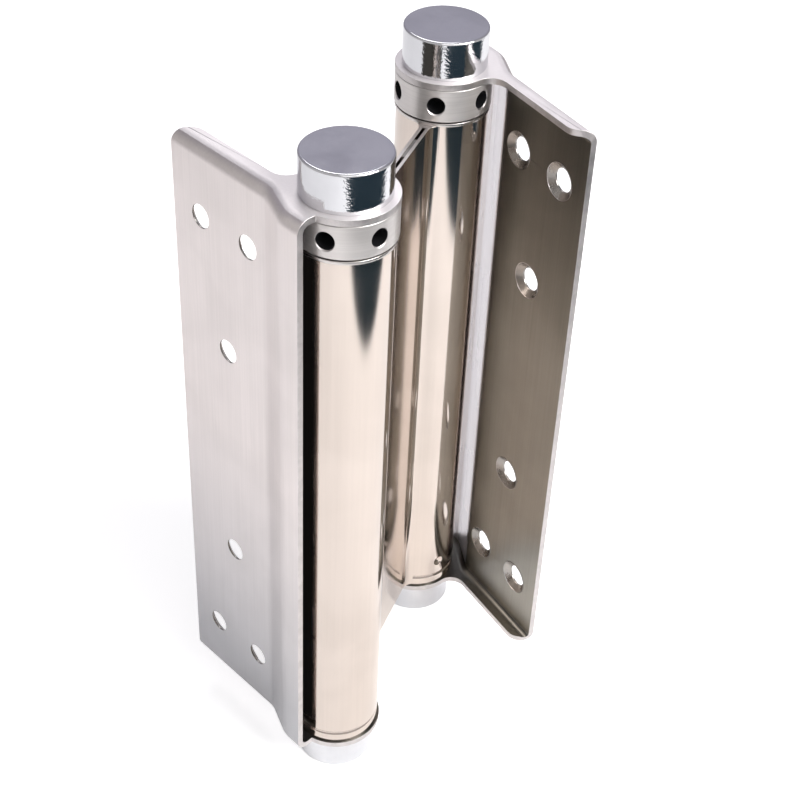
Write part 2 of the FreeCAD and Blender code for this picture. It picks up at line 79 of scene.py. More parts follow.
@dataclass(frozen=True)
class Layout:
    """Plan of the hinge in the pose of the photograph, in millimetres and degrees."""

    axis_east: float = 31.05
    axis_north: float = 15.0
    space: float = 75.5
    web_turn: float = 115.96
    door_turn: float = 168.6

    def seat(self, side: Side) -> Seat:
        """Find a barrel's seat.

        Args:
            side: The half of the hinge.

        Returns:
            The barrel's axis and its leaf's turn.
        """
        if side is Side.FRAME:
            return Seat(self.axis_east, self.axis_north, 0.0)
        away = math.radians(self.web_turn)
        east = self.axis_east + self.space * math.cos(away)
        north = self.axis_north + self.space * math.sin(away)
        return Seat(east, north, self.door_turn)

    @property
    def web(self) -> Seat:
        """Middle of the web, turned along it."""
        away = math.radians(self.web_turn)
        east = self.axis_east + self.space / 2 * math.cos(away)
        north = self.axis_north + self.space / 2 * math.sin(away)
        return Seat(east, north, self.web_turn)


class Bench:
    """Hand tools for meshes: things are selected in code and worked by operators."""

    @staticmethod
    def hold(*pieces: bpy.types.Object) -> None:
        """Select only these objects; the last one is active."""
        bpy.ops.object.select_all(action="DESELECT")
        for piece in pieces:
            piece.select_set(True)
            bpy.context.view_layer.objects.active = piece

    @staticmethod
    @contextmanager
    def editing(piece: bpy.types.Object, part: Part = Part.VERTS) -> Iterator[None]:
        """Open a piece in edit mode with nothing selected.

        Args:
            piece: The mesh object.
            part: The kind of selection to work with.

        Returns:
            A context that closes edit mode at its end.
        """
        Bench.hold(piece)
        bpy.ops.object.mode_set(mode="EDIT")
        bpy.ops.mesh.select_mode(type=part.value)
        bpy.ops.mesh.select_all(action="DESELECT")
        try:
            yield
        finally:
            bpy.ops.object.mode_set(mode="OBJECT")

    @staticmethod
    def pick(piece: bpy.types.Object, part: Part, rule: Callable[[Sequence[Vector]], bool]) -> int:
        """Select what answers a rule, in edit mode.

        Args:
            piece: The mesh in edit mode.
            part: Vertices, edges or faces.
            rule: Told the element's corner points, in metres.

        Returns:
            How many were selected.
        """
        bpy.ops.mesh.select_mode(type=part.value)
        bpy.ops.mesh.select_all(action="DESELECT")
        mesh = bmesh.from_edit_mesh(piece.data)
        found = 0
        if part is Part.VERTS:
            for vert in mesh.verts:
                if rule([vert.co]):
                    vert.select_set(True)
                    found += 1
        else:
            for item in mesh.edges if part is Part.EDGES else mesh.faces:
                if rule([vert.co for vert in item.verts]):
                    item.select_set(True)
                    found += 1
        mesh.select_flush_mode()
        bmesh.update_edit_mesh(piece.data)
        if found == 0:
            raise ValueError(piece.name + ": nothing answers the rule")
        return found

    @staticmethod
    def extrude(east: float, north: float, up: float) -> None:
        """Extrude the selection by a distance in millimetres."""
        shift = {"value": (east * MM, north * MM, up * MM)}
        bpy.ops.mesh.extrude_region_move(TRANSFORM_OT_translate=shift)

    @staticmethod
    def resize(east: float, north: float, up: float, about: Vector) -> None:
        """Scale the selection about a point."""
        bpy.ops.transform.resize(value=(east, north, up), center_override=tuple(about))

    @staticmethod
    def apply(piece: bpy.types.Object, kind: str, **settings: object) -> None:
        """Add one modifier, set it and apply it.

        Args:
            piece: The mesh object.
            kind: Blender's name for the modifier's type.
            settings: The modifier's properties.
        """
        Bench.hold(piece)
        modifier = piece.modifiers.new(kind.lower(), kind)
        for name, value in settings.items():
            setattr(modifier, name, value)
        bpy.ops.object.modifier_apply(modifier=modifier.name)

    @staticmethod
    def drum(name: str, radius: float, low: float, high: float, sides: int = 256) -> bpy.types.Object:
        """Add an upright drum round the world's axis, in millimetres.

        Args:
            name: The new object's name.
            radius: Its radius.
            low: Its lower level.
            high: Its upper level.
            sides: Facets round it.

        Returns:
            The new object, with its place in its mesh.
        """
        bpy.ops.object.select_all(action="DESELECT")
        middle = (0, 0, (low + high) / 2 * MM)
        bpy.ops.mesh.primitive_cylinder_add(vertices=sides, radius=radius * MM, depth=(high - low) * MM,
                                            location=middle)
        piece = bpy.context.active_object
        piece.name = name
        bpy.ops.object.transform_apply()
        return piece

    @staticmethod
    def block(name: str, low: Sequence[float], high: Sequence[float]) -> bpy.types.Object:
        """Add a block between two corners, in millimetres."""
        bpy.ops.object.select_all(action="DESELECT")
        middle = [(a + b) / 2 * MM for a, b in zip(low, high)]
        bpy.ops.mesh.primitive_cube_add(size=1, location=middle)
        piece = bpy.context.active_object
        piece.name = name
        piece.scale = [(b - a) * MM for a, b in zip(low, high)]
        bpy.ops.object.transform_apply()
        return piece

    @staticmethod
    def cut(piece: bpy.types.Object, tool: bpy.types.Object) -> None:
        """Cut one closed mesh out of another and throw the tool away."""
        Bench.apply(piece, "BOOLEAN", operation="DIFFERENCE", solver="EXACT", object=tool)
        bpy.data.objects.remove(tool, do_unlink=True)

    @staticmethod
    def copy(piece: bpy.types.Object, name: str) -> bpy.types.Object:
        """Copy an object with a mesh of its own."""
        Bench.hold(piece)
        bpy.ops.object.duplicate(linked=False)
        twin = bpy.context.active_object
        twin.name = name
        return twin

    @staticmethod
    def join(pieces: Sequence[bpy.types.Object]) -> bpy.types.Object:
        """Join meshes into the last one."""
        Bench.hold(*pieces)
        bpy.ops.object.join()
        return bpy.context.active_object

    @staticmethod
    def place(piece: bpy.types.Object, seat: Seat, turn: Optional[float] = None) -> None:
        """Turn a piece about the upright axis, move it to its seat and settle its mesh there."""
        Bench.hold(piece)
        piece.rotation_euler = (0.0, 0.0, math.radians(seat.turn if turn is None else turn))
        piece.location = seat.spot
        bpy.ops.object.transform_apply()

    @staticmethod
    def soften(piece: bpy.types.Object, width: float, segments: int = 2, angle: float = 35.0) -> None:
        """Break the sharp edges and smooth the rest.

        Args:
            piece: The mesh object.
            width: Width of the broken edge in millimetres.
            segments: Steps across it.
            angle: Edges sharper than this are broken.
        """
        Bench.apply(piece, "BEVEL", width=width * MM, segments=segments, limit_method="ANGLE",
                    angle_limit=math.radians(angle), use_clamp_overlap=False, harden_normals=False)
        Bench.smooth(piece, 50)

    @staticmethod
    def smooth(piece: bpy.types.Object, angle: float) -> None:
        """Shade a piece smooth below an angle in degrees, led by its large faces."""
        Bench.hold(piece)
        bpy.ops.object.shade_smooth_by_angle(angle=math.radians(angle))
        Bench.apply(piece, "WEIGHTED_NORMAL", keep_sharp=True, weight=90)


class NodeBook:
    """Shared node groups, each built once and used by several finishes."""

    groups: dict[str, bpy.types.NodeTree] = {}

    @classmethod
    def group(cls, name: str, inputs: Sequence[tuple[str, str, object]],
              outputs: Sequence[tuple[str, str]]) -> tuple[bpy.types.NodeTree, bool]:
        """Get a group, or start it with named sockets.

        Args:
            name: The group's name.
            inputs: Name, socket type and default of each input.
            outputs: Name and socket type of each output.

        Returns:
            The group, and whether it still has to be filled.
        """
        if name in cls.groups:
            return cls.groups[name], False
        tree = bpy.data.node_groups.new(name, "ShaderNodeTree")
        for label, kind, value in inputs:
            socket = tree.interface.new_socket(name=label, in_out="INPUT", socket_type=kind)
            if value is not None:
                socket.default_value = value
        for label, kind in outputs:
            tree.interface.new_socket(name=label, in_out="OUTPUT", socket_type=kind)
        cls.groups[name] = tree
        return tree, True

    @classmethod
    def grain(cls) -> bpy.types.NodeTree:
        """Fine lines drawn along one direction, as a rolled and brushed sheet has."""
        tree, new = cls.group(
            "drawn_grain",
            [("Vector", "NodeSocketVector", None), ("Across", "NodeSocketFloat", 900.0),
             ("Along", "NodeSocketFloat", 14.0), ("Contrast", "NodeSocketFloat", 1.0)],
            [("Lines", "NodeSocketFloat"), ("Streaks", "NodeSocketFloat")])
        if not new:
            return tree
        nodes, links = tree.nodes, tree.links
        source = nodes.new("NodeGroupInput")
        sink = nodes.new("NodeGroupOutput")
        for label, factor, detail in (("Lines", 1.0, 4.0), ("Streaks", 0.16, 2.0)):
            wide = cls.math(tree, "MULTIPLY", source.outputs["Across"], factor)
            long = cls.math(tree, "MULTIPLY", source.outputs["Along"], factor)
            scale = nodes.new("ShaderNodeCombineXYZ")
            links.new(wide, scale.inputs[0])
            links.new(wide, scale.inputs[1])
            links.new(long, scale.inputs[2])
            stretch = nodes.new("ShaderNodeVectorMath")
            stretch.operation = "MULTIPLY"
            links.new(source.outputs["Vector"], stretch.inputs[0])
            links.new(scale.outputs[0], stretch.inputs[1])
            noise = nodes.new("ShaderNodeTexNoise")
            noise.inputs["Scale"].default_value = 1.0
            noise.inputs["Detail"].default_value = detail
            noise.inputs["Roughness"].default_value = 0.6
            links.new(stretch.outputs[0], noise.inputs["Vector"])
            centred = cls.math(tree, "SUBTRACT", noise.outputs["Fac"], 0.5)
            gained = cls.math(tree, "MULTIPLY", centred, source.outputs["Contrast"])
            final = cls.math(tree, "ADD", gained, 0.5)
            links.new(final, sink.inputs[label])
        return tree

    @classmethod
    def blotch(cls) -> bpy.types.NodeTree:
        """Soft uneven patches, as handling and polishing leave on metal."""
        tree, new = cls.group(
            "soft_patches",
            [("Vector", "NodeSocketVector", None), ("Scale", "NodeSocketFloat", 40.0),
             ("Low", "NodeSocketFloat", 0.35), ("High", "NodeSocketFloat", 0.65)],
            [("Mask", "NodeSocketFloat")])
        if not new:
            return tree
        nodes, links = tree.nodes, tree.links
        source = nodes.new("NodeGroupInput")
        sink = nodes.new("NodeGroupOutput")
        noise = nodes.new("ShaderNodeTexNoise")
        noise.inputs["Detail"].default_value = 3.0
        noise.inputs["Distortion"].default_value = 0.4
        links.new(source.outputs["Vector"], noise.inputs["Vector"])
        links.new(source.outputs["Scale"], noise.inputs["Scale"])
        ramp = nodes.new("ShaderNodeMapRange")
        ramp.interpolation_type = "SMOOTHSTEP"
        links.new(noise.outputs["Fac"], ramp.inputs["Value"])
        links.new(source.outputs["Low"], ramp.inputs["From Min"])
        links.new(source.outputs["High"], ramp.inputs["From Max"])
        links.new(ramp.outputs["Result"], sink.inputs["Mask"])
        return tree

    @staticmethod
    def math(tree: bpy.types.NodeTree, operation: str, first: object, second: object = 0.0) -> bpy.types.NodeSocket:
        """Add a Math node whose inputs are sockets or plain numbers.

        Args:
            tree: The node tree.
            operation: The node's operation.
            first: First socket or number.
            second: Second socket or number.

        Returns:
            The node's output.
        """
        node = tree.nodes.new("ShaderNodeMath")
        node.operation = operation
        for slot, value in zip(node.inputs, (first, second)):
            if isinstance(value, bpy.types.NodeSocket):
                tree.links.new(value, slot)
            else:
                slot.default_value = float(value)
        return node.outputs[0]

    @staticmethod
    def use(tree: bpy.types.NodeTree, group: bpy.types.NodeTree, vector: bpy.types.NodeSocket,
            **values: float) -> bpy.types.Node:
        """Place a shared group in a material.

        Args:
            tree: The material's tree.
            group: The shared group.
            vector: The coordinates it reads.
            values: Numbers for its inputs.

        Returns:
            The group node.
        """
        node = tree.nodes.new("ShaderNodeGroup")
        node.node_tree = group
        tree.links.new(vector, node.inputs["Vector"])
        for name, value in values.items():
            node.inputs[name].default_value = value
        return node


@dataclass(frozen=True)
class Metal:
    """One metal finish: its tint, gloss, the marks its making left, and on some a painted shade that darkens the tint
    between two heights.
    """

    name: str
    dark: tuple[float, float, float]
    light: tuple[float, float, float]
    gloss_low: float = 0.25
    gloss_high: float = 0.4
    lines: float = 0.5
    across: float = 900.0
    along: float = 14.0
    patch_scale: float = 40.0
    relief: float = 0.02
    stretch: float = 0.0
    round_grain: bool = False
    peel: float = 0.0
    peel_scale: float = 2400.0
    peel_flat: float = 0.25
    metal: float = 1.0
    # Painted shade: a tint that the colour is multiplied towards between two heights in millimetres.
    painted_shade: tuple[float, float, float] = (1.0, 1.0, 1.0)
    painted_shade_levels: tuple[float, float] = (0.0, 1.0)

    def make(self) -> bpy.types.Material:
        """Build the material.

        Returns:
            A node material that reads Object coordinates.
        """
        material = bpy.data.materials.new(self.name)
        material.use_nodes = True
        tree = material.node_tree
        nodes, links = tree.nodes, tree.links
        shader = nodes["Principled BSDF"]
        shader.inputs["Metallic"].default_value = self.metal
        if self.stretch:
            shader.inputs["Anisotropic"].default_value = self.stretch
            shader.inputs["Anisotropic Rotation"].default_value = 0.25 if self.round_grain else 0.0
            around = nodes.new("ShaderNodeTangent")
            around.direction_type = "RADIAL"
            around.axis = "Z"
            links.new(around.outputs["Tangent"], shader.inputs["Tangent"])
        coords = nodes.new("ShaderNodeTexCoord")
        place = nodes.new("ShaderNodeMapping")
        if self.round_grain:
            place.inputs["Scale"].default_value = (0.02, 0.02, 60.0)
        links.new(coords.outputs["Object"], place.inputs["Vector"])
        grain = NodeBook.use(tree, NodeBook.grain(), place.outputs["Vector"], Across=self.across,
                             Along=self.along, Contrast=1.6)
        patches = NodeBook.use(tree, NodeBook.blotch(), coords.outputs["Object"], Scale=self.patch_scale)
        blend = NodeBook.math(tree, "MULTIPLY", grain.outputs["Lines"], self.lines)
        streak = NodeBook.math(tree, "MULTIPLY", grain.outputs["Streaks"], self.lines * 0.6)
        soft = NodeBook.math(tree, "MULTIPLY", patches.outputs["Mask"], 1.0 - self.lines)
        mixed = NodeBook.math(tree, "ADD", blend, soft)
        mixed = NodeBook.math(tree, "ADD", mixed, streak)
        tint = nodes.new("ShaderNodeMix")
        tint.data_type = "RGBA"
        tint.inputs["A"].default_value = (*self.dark, 1.0)
        tint.inputs["B"].default_value = (*self.light, 1.0)
        links.new(mixed, tint.inputs["Factor"])
        # Painted shade: the colour is multiplied towards a darker tint between two heights.
        height = nodes.new("ShaderNodeSeparateXYZ")
        links.new(coords.outputs["Object"], height.inputs[0])
        reach = nodes.new("ShaderNodeMapRange")
        reach.inputs["From Min"].default_value = self.painted_shade_levels[0] * MM
        reach.inputs["From Max"].default_value = self.painted_shade_levels[1] * MM
        links.new(height.outputs["Z"], reach.inputs["Value"])
        shade_veil = nodes.new("ShaderNodeMix")
        shade_veil.data_type = "RGBA"
        shade_veil.blend_type = "MULTIPLY"
        shade_veil.inputs["B"].default_value = (*self.painted_shade, 1.0)
        links.new(reach.outputs["Result"], shade_veil.inputs["Factor"])
        links.new(tint.outputs["Result"], shade_veil.inputs["A"])
        links.new(shade_veil.outputs["Result"], shader.inputs["Base Color"])
        gloss = nodes.new("ShaderNodeMapRange")
        gloss.inputs["To Min"].default_value = self.gloss_low
        gloss.inputs["To Max"].default_value = self.gloss_high
        links.new(mixed, gloss.inputs["Value"])
        links.new(gloss.outputs["Result"], shader.inputs["Roughness"])
        bump = nodes.new("ShaderNodeBump")
        bump.inputs["Strength"].default_value = 1.0
        bump.inputs["Distance"].default_value = self.relief * MM
        links.new(grain.outputs["Lines"], bump.inputs["Height"])
        if self.peel:
            speckle = nodes.new("ShaderNodeTexNoise")
            speckle.inputs["Scale"].default_value = self.peel_scale
            speckle.inputs["Detail"].default_value = 1.5
            links.new(coords.outputs["Object"], speckle.inputs["Vector"])
            dents = nodes.new("ShaderNodeBump")
            dents.inputs["Strength"].default_value = 1.0
            dents.inputs["Distance"].default_value = self.peel * MM
            links.new(speckle.outputs["Fac"], dents.inputs["Height"])
            facing = nodes.new("ShaderNodeSeparateXYZ")
            links.new(coords.outputs["Normal"], facing.inputs[0])
            level = NodeBook.math(tree, "ABSOLUTE", facing.outputs["Z"])
            sides = NodeBook.math(tree, "SUBTRACT", 1.0, level)
            links.new(NodeBook.math(tree, "MAXIMUM", sides, self.peel_flat), dents.inputs["Strength"])
            links.new(dents.outputs["Normal"], bump.inputs["Normal"])
        links.new(bump.outputs["Normal"], shader.inputs["Normal"])
        return material


@dataclass(frozen=True)
class Dull:
    """A plain dark finish with a slightly uneven surface."""

    name: str
    colour: tuple[float, float, float]
    gloss: float = 0.6

    def make(self) -> bpy.types.Material:
        """Build the material.

        Returns:
            A node material that reads Object coordinates.
        """
        material = bpy.data.materials.new(self.name)
        material.use_nodes = True
        tree = material.node_tree
        shader = tree.nodes["Principled BSDF"]
        coords = tree.nodes.new("ShaderNodeTexCoord")
        patches = NodeBook.use(tree, NodeBook.blotch(), coords.outputs["Object"], Scale=260.0)
        tint = tree.nodes.new("ShaderNodeMix")
        tint.data_type = "RGBA"
        tint.inputs["A"].default_value = (*[c * 0.6 for c in self.colour], 1.0)
        tint.inputs["B"].default_value = (*self.colour, 1.0)
        tree.links.new(patches.outputs["Mask"], tint.inputs["Factor"])
        tree.links.new(tint.outputs["Result"], shader.inputs["Base Color"])
        shader.inputs["Roughness"].default_value = self.gloss
        return material


class Finish(Enum):
    """Every finish on the hinge."""

    # Painted shade: the outer satin of the leaves turns darker and bluer towards the bottom.
    LEAF = Metal("leaf_satin", (0.70, 0.645, 0.625), (0.84, 0.775, 0.755), 0.32, 0.40, 0.55, 1500.0, 24.0, 30.0, 0.008,
                 0.6, painted_shade=(0.61, 0.655, 0.695), painted_shade_levels=(10.0, -88.0))
    # Painted shade: the barrel side of the leaves is coloured far darker than the outer side, and darker again towards
    # the top.
    SHADED_INNER = Metal("leaf_inner_painted_shade", (0.235, 0.223, 0.196), (0.335, 0.318, 0.282), 0.26, 0.34, 0.55, 1500.0, 24.0, 26.0, 0.008,
                  0.5, painted_shade=(0.58, 0.57, 0.55), painted_shade_levels=(12.0, 58.0))
    # Painted highlight: the barrel side of the plate from its step on is coloured light, against the painted shade on
    # the rest of that side.
    BEND = Metal("leaf_bend_painted_highlight", (0.72, 0.69, 0.71), (0.82, 0.79, 0.81), 0.22, 0.30, 0.5, 1500.0, 24.0, 40.0, 0.004)
    FLANGE = Metal("leaf_flange", (0.70, 0.66, 0.665), (0.82, 0.78, 0.785), 0.40, 0.50, 0.5, 1500.0, 300.0, 60.0, 0.012,
                   peel=0.02, peel_scale=1300.0, peel_flat=1.0, metal=0.55)
    # Painted shade: the walls of the countersunk screw holes are coloured dark.
    SHADED_SINK = Metal("sink_wall_painted_shade", (0.26, 0.25, 0.235), (0.46, 0.435, 0.41), 0.20, 0.32, 0.5, 2200.0, 900.0, 160.0, 0.008)
    # Painted shade: the inner sides of the flanges, past the fold, are coloured near black.
    SHADED_FOLD = Metal("leaf_fold_painted_shade", (0.075, 0.075, 0.07), (0.14, 0.138, 0.128), 0.30, 0.40, 0.5, 1500.0, 300.0, 40.0, 0.008)
    # The spacer strips between the web's layers are coloured dark grey.
    DARK_SPACER = Metal("spacer_dark_grey", (0.20, 0.195, 0.19), (0.34, 0.33, 0.32), 0.42, 0.55, 0.5, 2200.0, 900.0, 200.0, 0.012)
    CUT = Metal("cut_edge", (0.54, 0.51, 0.50), (0.72, 0.68, 0.67), 0.34, 0.48, 0.5, 2600.0, 1300.0, 300.0, 0.012,
                peel=0.03, peel_scale=2600.0)
    TUBE = Metal("tube_polish", (0.655, 0.575, 0.515), (0.745, 0.655, 0.59), 0.07, 0.12, 0.5, 1300.0, 16.0, 34.0, 0.004)
    CAP = Metal("cap_polish", (0.68, 0.68, 0.70), (0.77, 0.77, 0.79), 0.06, 0.12, 0.3, 700.0, 60.0, 60.0, 0.002,
                peel=0.04, peel_scale=1500.0, peel_flat=0.1)
    COLLAR = Metal("collar_turned", (0.55, 0.52, 0.50), (0.73, 0.695, 0.675), 0.26, 0.38, 0.7, 900.0, 30.0, 60.0, 0.02,
                   0.5, True, metal=0.75)
    BUSH = Metal("bush_turned", (0.58, 0.54, 0.515), (0.74, 0.70, 0.67), 0.18, 0.3, 0.6, 900.0, 30.0, 60.0, 0.006,
                 0.5, True)
    SPRING = Metal("spring_wire", (0.20, 0.20, 0.21), (0.34, 0.34, 0.35), 0.3, 0.45, 0.5, 1200.0, 60.0, 90.0, 0.01)
    # Painted shade: the insides of the collars' radial holes are coloured near black.
    SHADED_BORE = Dull("bore_painted_shade", (0.02, 0.02, 0.022), 0.35)
    WASHER = Dull("black_washer", (0.012, 0.012, 0.013), 0.5)

    @property
    def material(self) -> bpy.types.Material:
        """The finish's material, built on first use."""
        found = bpy.data.materials.get(self.value.name)
        return found if found is not None else self.value.make()


def dress(piece: bpy.types.Object, *finishes: Finish) -> None:
    """Give a piece its finishes, one to each material slot.

    Args:
        piece: The mesh object.
        finishes: The finishes in slot order.
    """
    while len(piece.data.materials) < len(finishes):
        piece.data.materials.append(None)
    for index, finish in enumerate(finishes):
        piece.data.materials[index] = finish.material


def assign(piece: bpy.types.Object, index: int, rule: Callable[[Sequence[Vector]], bool]) -> None:
    """Put the faces that answer a rule on one material slot.

    Args:
        piece: The mesh object.
        index: The slot's number.
        rule: Told the face's corner points.
    """
    with Bench.editing(piece, Part.FACES):
        Bench.pick(piece, Part.FACES, rule)
        piece.active_material_index = index
        bpy.ops.object.material_slot_assign()


def seat_piece(piece: bpy.types.Object, body: str, slot: str, *nodes: str) -> None:
    """Attach a finished piece to its CAD body's empty and hide the CAD nodes it stands for.

    Args:
        piece: The mesh object.
        body: The CAD body it rides on.
        slot: A material slot name; not used.
        nodes: The CAD nodes it stands for.
    """
    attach(piece, body)
    if nodes:
        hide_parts(*nodes)
    log.info("%s rides %s, %d faces", piece.name, body, len(piece.data.polygons))


@dataclass
class Leaf:
    """A stamped leaf: plate with an outward step, folded flanges, round ears, six sunk holes."""

    half_tall: float = 100.0
    stock: float = 2.0
    reach: float = 52.4
    face: float = -15.0
    step_out: float = 4.6
    step_begin: float = -14.0
    step_finish: float = -3.0
    step_bend: float = 8.0
    tail: float = 4.0
    fold: float = 4.0
    flange_edge: float = -8.55
    ear: float = 14.2
    blend: float = 5.0
    corner: float = 6.0
    screw: float = 3.55
    sink: float = 5.65
    sink_deep: float = 1.4
    columns: tuple[float, float] = (21.2, 40.9)
    rows: tuple[float, float] = (78.35, 38.55)
    screw_sides: int = 64
    ear_step: float = math.radians(2.0)
    pieces: list[bpy.types.Object] = field(default_factory=list)

    def outer_face(self, east: float) -> float:
        """Level of the plate's outer face at a place along it, without the bends' rounding."""
        if east <= self.step_begin:
            return self.face
        if east >= self.step_finish:
            return self.face - self.step_out
        part = (east - self.step_begin) / (self.step_finish - self.step_begin)
        return self.face - self.step_out * part

    def corner_spot(self, along: float) -> tuple[float, float]:
        """A point of the rounded outer corner on the flat flange.

        Args:
            along: Distance along the sheet from the start of the fold.

        Returns:
            East and north of the point.
        """
        arc = self.fold * math.pi / 2
        whole = arc + (self.flange_edge - self.face - self.fold)
        part = min(max(along / whole, 0.0), 1.0)
        east = -self.reach + self.corner * (1.0 - math.sqrt(max(1.0 - part * part, 0.0)))
        return east, self.face + self.fold + (along - arc)

    def half_shell(self) -> bpy.types.Object:
        """Shape the upper half of the outer skin by extruding and folding a plane.

        Returns:
            The open skin from mid height to the ear.
        """
        bpy.ops.object.select_all(action="DESELECT")
        wide = self.step_begin + self.reach
        bpy.ops.mesh.primitive_plane_add(size=1, rotation=(math.pi / 2, 0, 0))
        piece = bpy.context.active_object
        piece.name = "leaf_skin"
        piece.scale = (wide * MM, self.half_tall * MM, 1.0)
        piece.location = ((self.step_begin - wide / 2) * MM, self.face * MM, self.half_tall / 2 * MM)
        bpy.ops.object.transform_apply()
        slack = 0.02 * MM
        top = self.half_tall * MM
        slope = math.atan2(self.step_out, self.step_finish - self.step_begin)
        with Bench.editing(piece):
            Bench.pick(piece, Part.VERTS, lambda p: abs(p[0].x - self.step_begin * MM) < slack)
            Bench.extrude(self.step_finish - self.step_begin, -self.step_out, 0)
            Bench.extrude(self.tail - self.step_finish, 0, 0)
            for east, radius in ((self.step_begin, self.step_bend), (self.step_finish, self.step_bend + self.stock)):
                Bench.pick(piece, Part.EDGES, lambda p, e=east: all(abs(v.x - e * MM) < slack for v in p))
                bpy.ops.mesh.bevel(offset=radius * math.tan(slope / 2) * MM, segments=10, affect="EDGES")
            Bench.pick(piece, Part.EDGES, lambda p: all(abs(v.z - top) < slack for v in p))
            bpy.ops.mesh.mark_sharp()
            Bench.extrude(0, self.fold + 0.3, 0)
            mesh = bmesh.from_edit_mesh(piece.data)
            bpy.ops.mesh.select_all(action="DESELECT")
            for edge in mesh.edges:
                edge.select_set(not edge.smooth and edge.verts[0].co.z > top - slack
                                and not edge.is_boundary)
            bmesh.update_edit_mesh(piece.data)
            bpy.ops.mesh.bevel(offset=self.fold * MM, segments=10, affect="EDGES")
            bpy.ops.mesh.select_all(action="SELECT")
            bpy.ops.mesh.mark_sharp(clear=True)
            self.round_corner(piece)
            self.trace_flange(piece)
        return piece

    def round_corner(self, piece: bpy.types.Object) -> None:
        """Draw the fold's outer end inwards along the rounded corner of the blank."""
        low = (self.half_tall - self.fold) * MM
        mesh = bmesh.from_edit_mesh(piece.data)
        ends = [v.co.copy() for v in mesh.verts if abs(v.co.x + self.reach * MM) < 0.02 * MM and v.co.z > low + 1e-7]
        for spot in ends:
            turn = math.atan2(spot.z - low, self.fold * MM - (spot.y - self.face * MM))
            north = spot.y / MM
            flat = north - (self.face + self.fold)
            along = self.fold * math.pi / 2 + flat if flat > 1e-4 else self.fold * turn
            east = self.corner_spot(along)[0]
            Bench.pick(piece, Part.VERTS, lambda p, s=spot: (p[0] - s).length < 1e-6)
            bpy.ops.transform.translate(value=((east + self.reach) * MM, 0, 0))

    def flange_route(self) -> list[tuple[float, float]]:
        """Edge of the flange and ear in plan, from the outer corner round the ear to the tail."""
        arc = self.fold * math.pi / 2
        whole = arc + (self.flange_edge - self.face - self.fold)
        route = [self.corner_spot(arc + 0.3 + (whole - arc - 0.3) * step / 10) for step in range(1, 11)]
        lift = self.flange_edge + self.blend
        middle = -math.sqrt((self.ear + self.blend) ** 2 - lift ** 2)
        finish = 2 * math.pi + math.atan2(-lift, -middle)
        begin = 1.5 * math.pi
        for step in range(13):
            turn = begin + (finish - begin) * step / 12
            route.append((middle + self.blend * math.cos(turn), lift + self.blend * math.sin(turn)))
        start = math.atan2(lift, middle) % (2 * math.pi)
        stop = -math.acos(self.tail / self.ear)
        count = int((start - stop) / self.ear_step)
        for step in range(1, count + 1):
            turn = start + (stop - start) * step / count
            route.append((self.ear * math.cos(turn), self.ear * math.sin(turn)))
        return route

    def trace_flange(self, piece: bpy.types.Object) -> None:
        """Draw the flange's edge as a chain of vertices and fill it."""
        top = self.half_tall * MM
        strip = self.fold + 0.3
        spot = Vector((*self.corner_spot(self.fold * math.pi / 2 + 0.3), self.half_tall)) * MM
        Bench.pick(piece, Part.VERTS, lambda p: (p[0] - spot).length < 0.02 * MM)
        here = spot / MM
        for east, north in self.flange_route():
            Bench.extrude(east - here.x, north - here.y, 0)
            here = Vector((east, north, self.half_tall))
        last = here * MM
        end = Vector((self.tail, self.face - self.step_out + strip, self.half_tall)) * MM
        Bench.pick(piece, Part.VERTS, lambda p: (p[0] - last).length < 0.01 * MM or (p[0] - end).length < 0.02 * MM)
        bpy.ops.mesh.edge_face_add()
        mesh = bmesh.from_edit_mesh(piece.data)
        bpy.ops.mesh.select_mode(type="EDGE")
        bpy.ops.mesh.select_all(action="DESELECT")
        for edge in mesh.edges:
            if len(edge.link_faces) > 1 or any(abs(v.co.z - top) > 1e-6 for v in edge.verts):
                continue
            fold_end = any(self.on_fold_line(v.co) for v in edge.verts)
            edge.select_set(not fold_end)
        bmesh.update_edit_mesh(piece.data)
        bpy.ops.mesh.edge_face_add()

    def on_fold_line(self, spot: Vector) -> bool:
        """Tell whether a top vertex lies where the fold meets the flat flange."""
        return self.line_gap(spot.x / MM, spot.y / MM) < 0.15

    def line_gap(self, east: float, north: float) -> float:
        """Distance of a flange point from the fold's inner tangent line."""
        if east <= self.step_begin - 3:
            return abs(north - (self.face + self.fold))
        if east >= self.step_finish + 3:
            return abs(north - (self.face - self.step_out + self.fold))
        return 1.0

    def blank(self) -> bpy.types.Object:
        """Make the whole leaf about its barrel's axis.

        Returns:
            The finished leaf, still at the world's axis.
        """
        piece = self.half_shell()
        Bench.apply(piece, "MIRROR", use_axis=(False, False, True), use_clip=True, merge_threshold=0.01 * MM)
        with Bench.editing(piece):
            bpy.ops.mesh.select_all(action="SELECT")
            bpy.ops.mesh.remove_doubles(threshold=0.002 * MM)
            bpy.ops.mesh.normals_make_consistent(inside=False)
        plate = max(piece.data.polygons, key=lambda face: face.area)
        if plate.normal.y > 0:
            with Bench.editing(piece):
                bpy.ops.mesh.select_all(action="SELECT")
                bpy.ops.mesh.flip_normals()
        dress(piece, Finish.LEAF, Finish.CUT, Finish.SHADED_INNER, Finish.BEND, Finish.FLANGE, Finish.SHADED_FOLD,
              Finish.SHADED_SINK)
        Bench.apply(piece, "SOLIDIFY", thickness=self.stock * MM, offset=-1.0, use_even_offset=True,
                    material_offset_rim=1)
        assign(piece, 4, self.on_flange)
        # Painted shade on the barrel side of the plate.
        assign(piece, 2, self.inside)
        # Painted highlight on the barrel side of the plate's step.
        assign(piece, 3, self.on_bend)
        # Painted shade on the inner sides of the flanges.
        assign(piece, 5, self.under_fold)
        Bench.cut(piece, self.drills())
        inner, outer = (self.face + self.stock) * MM, self.face * MM
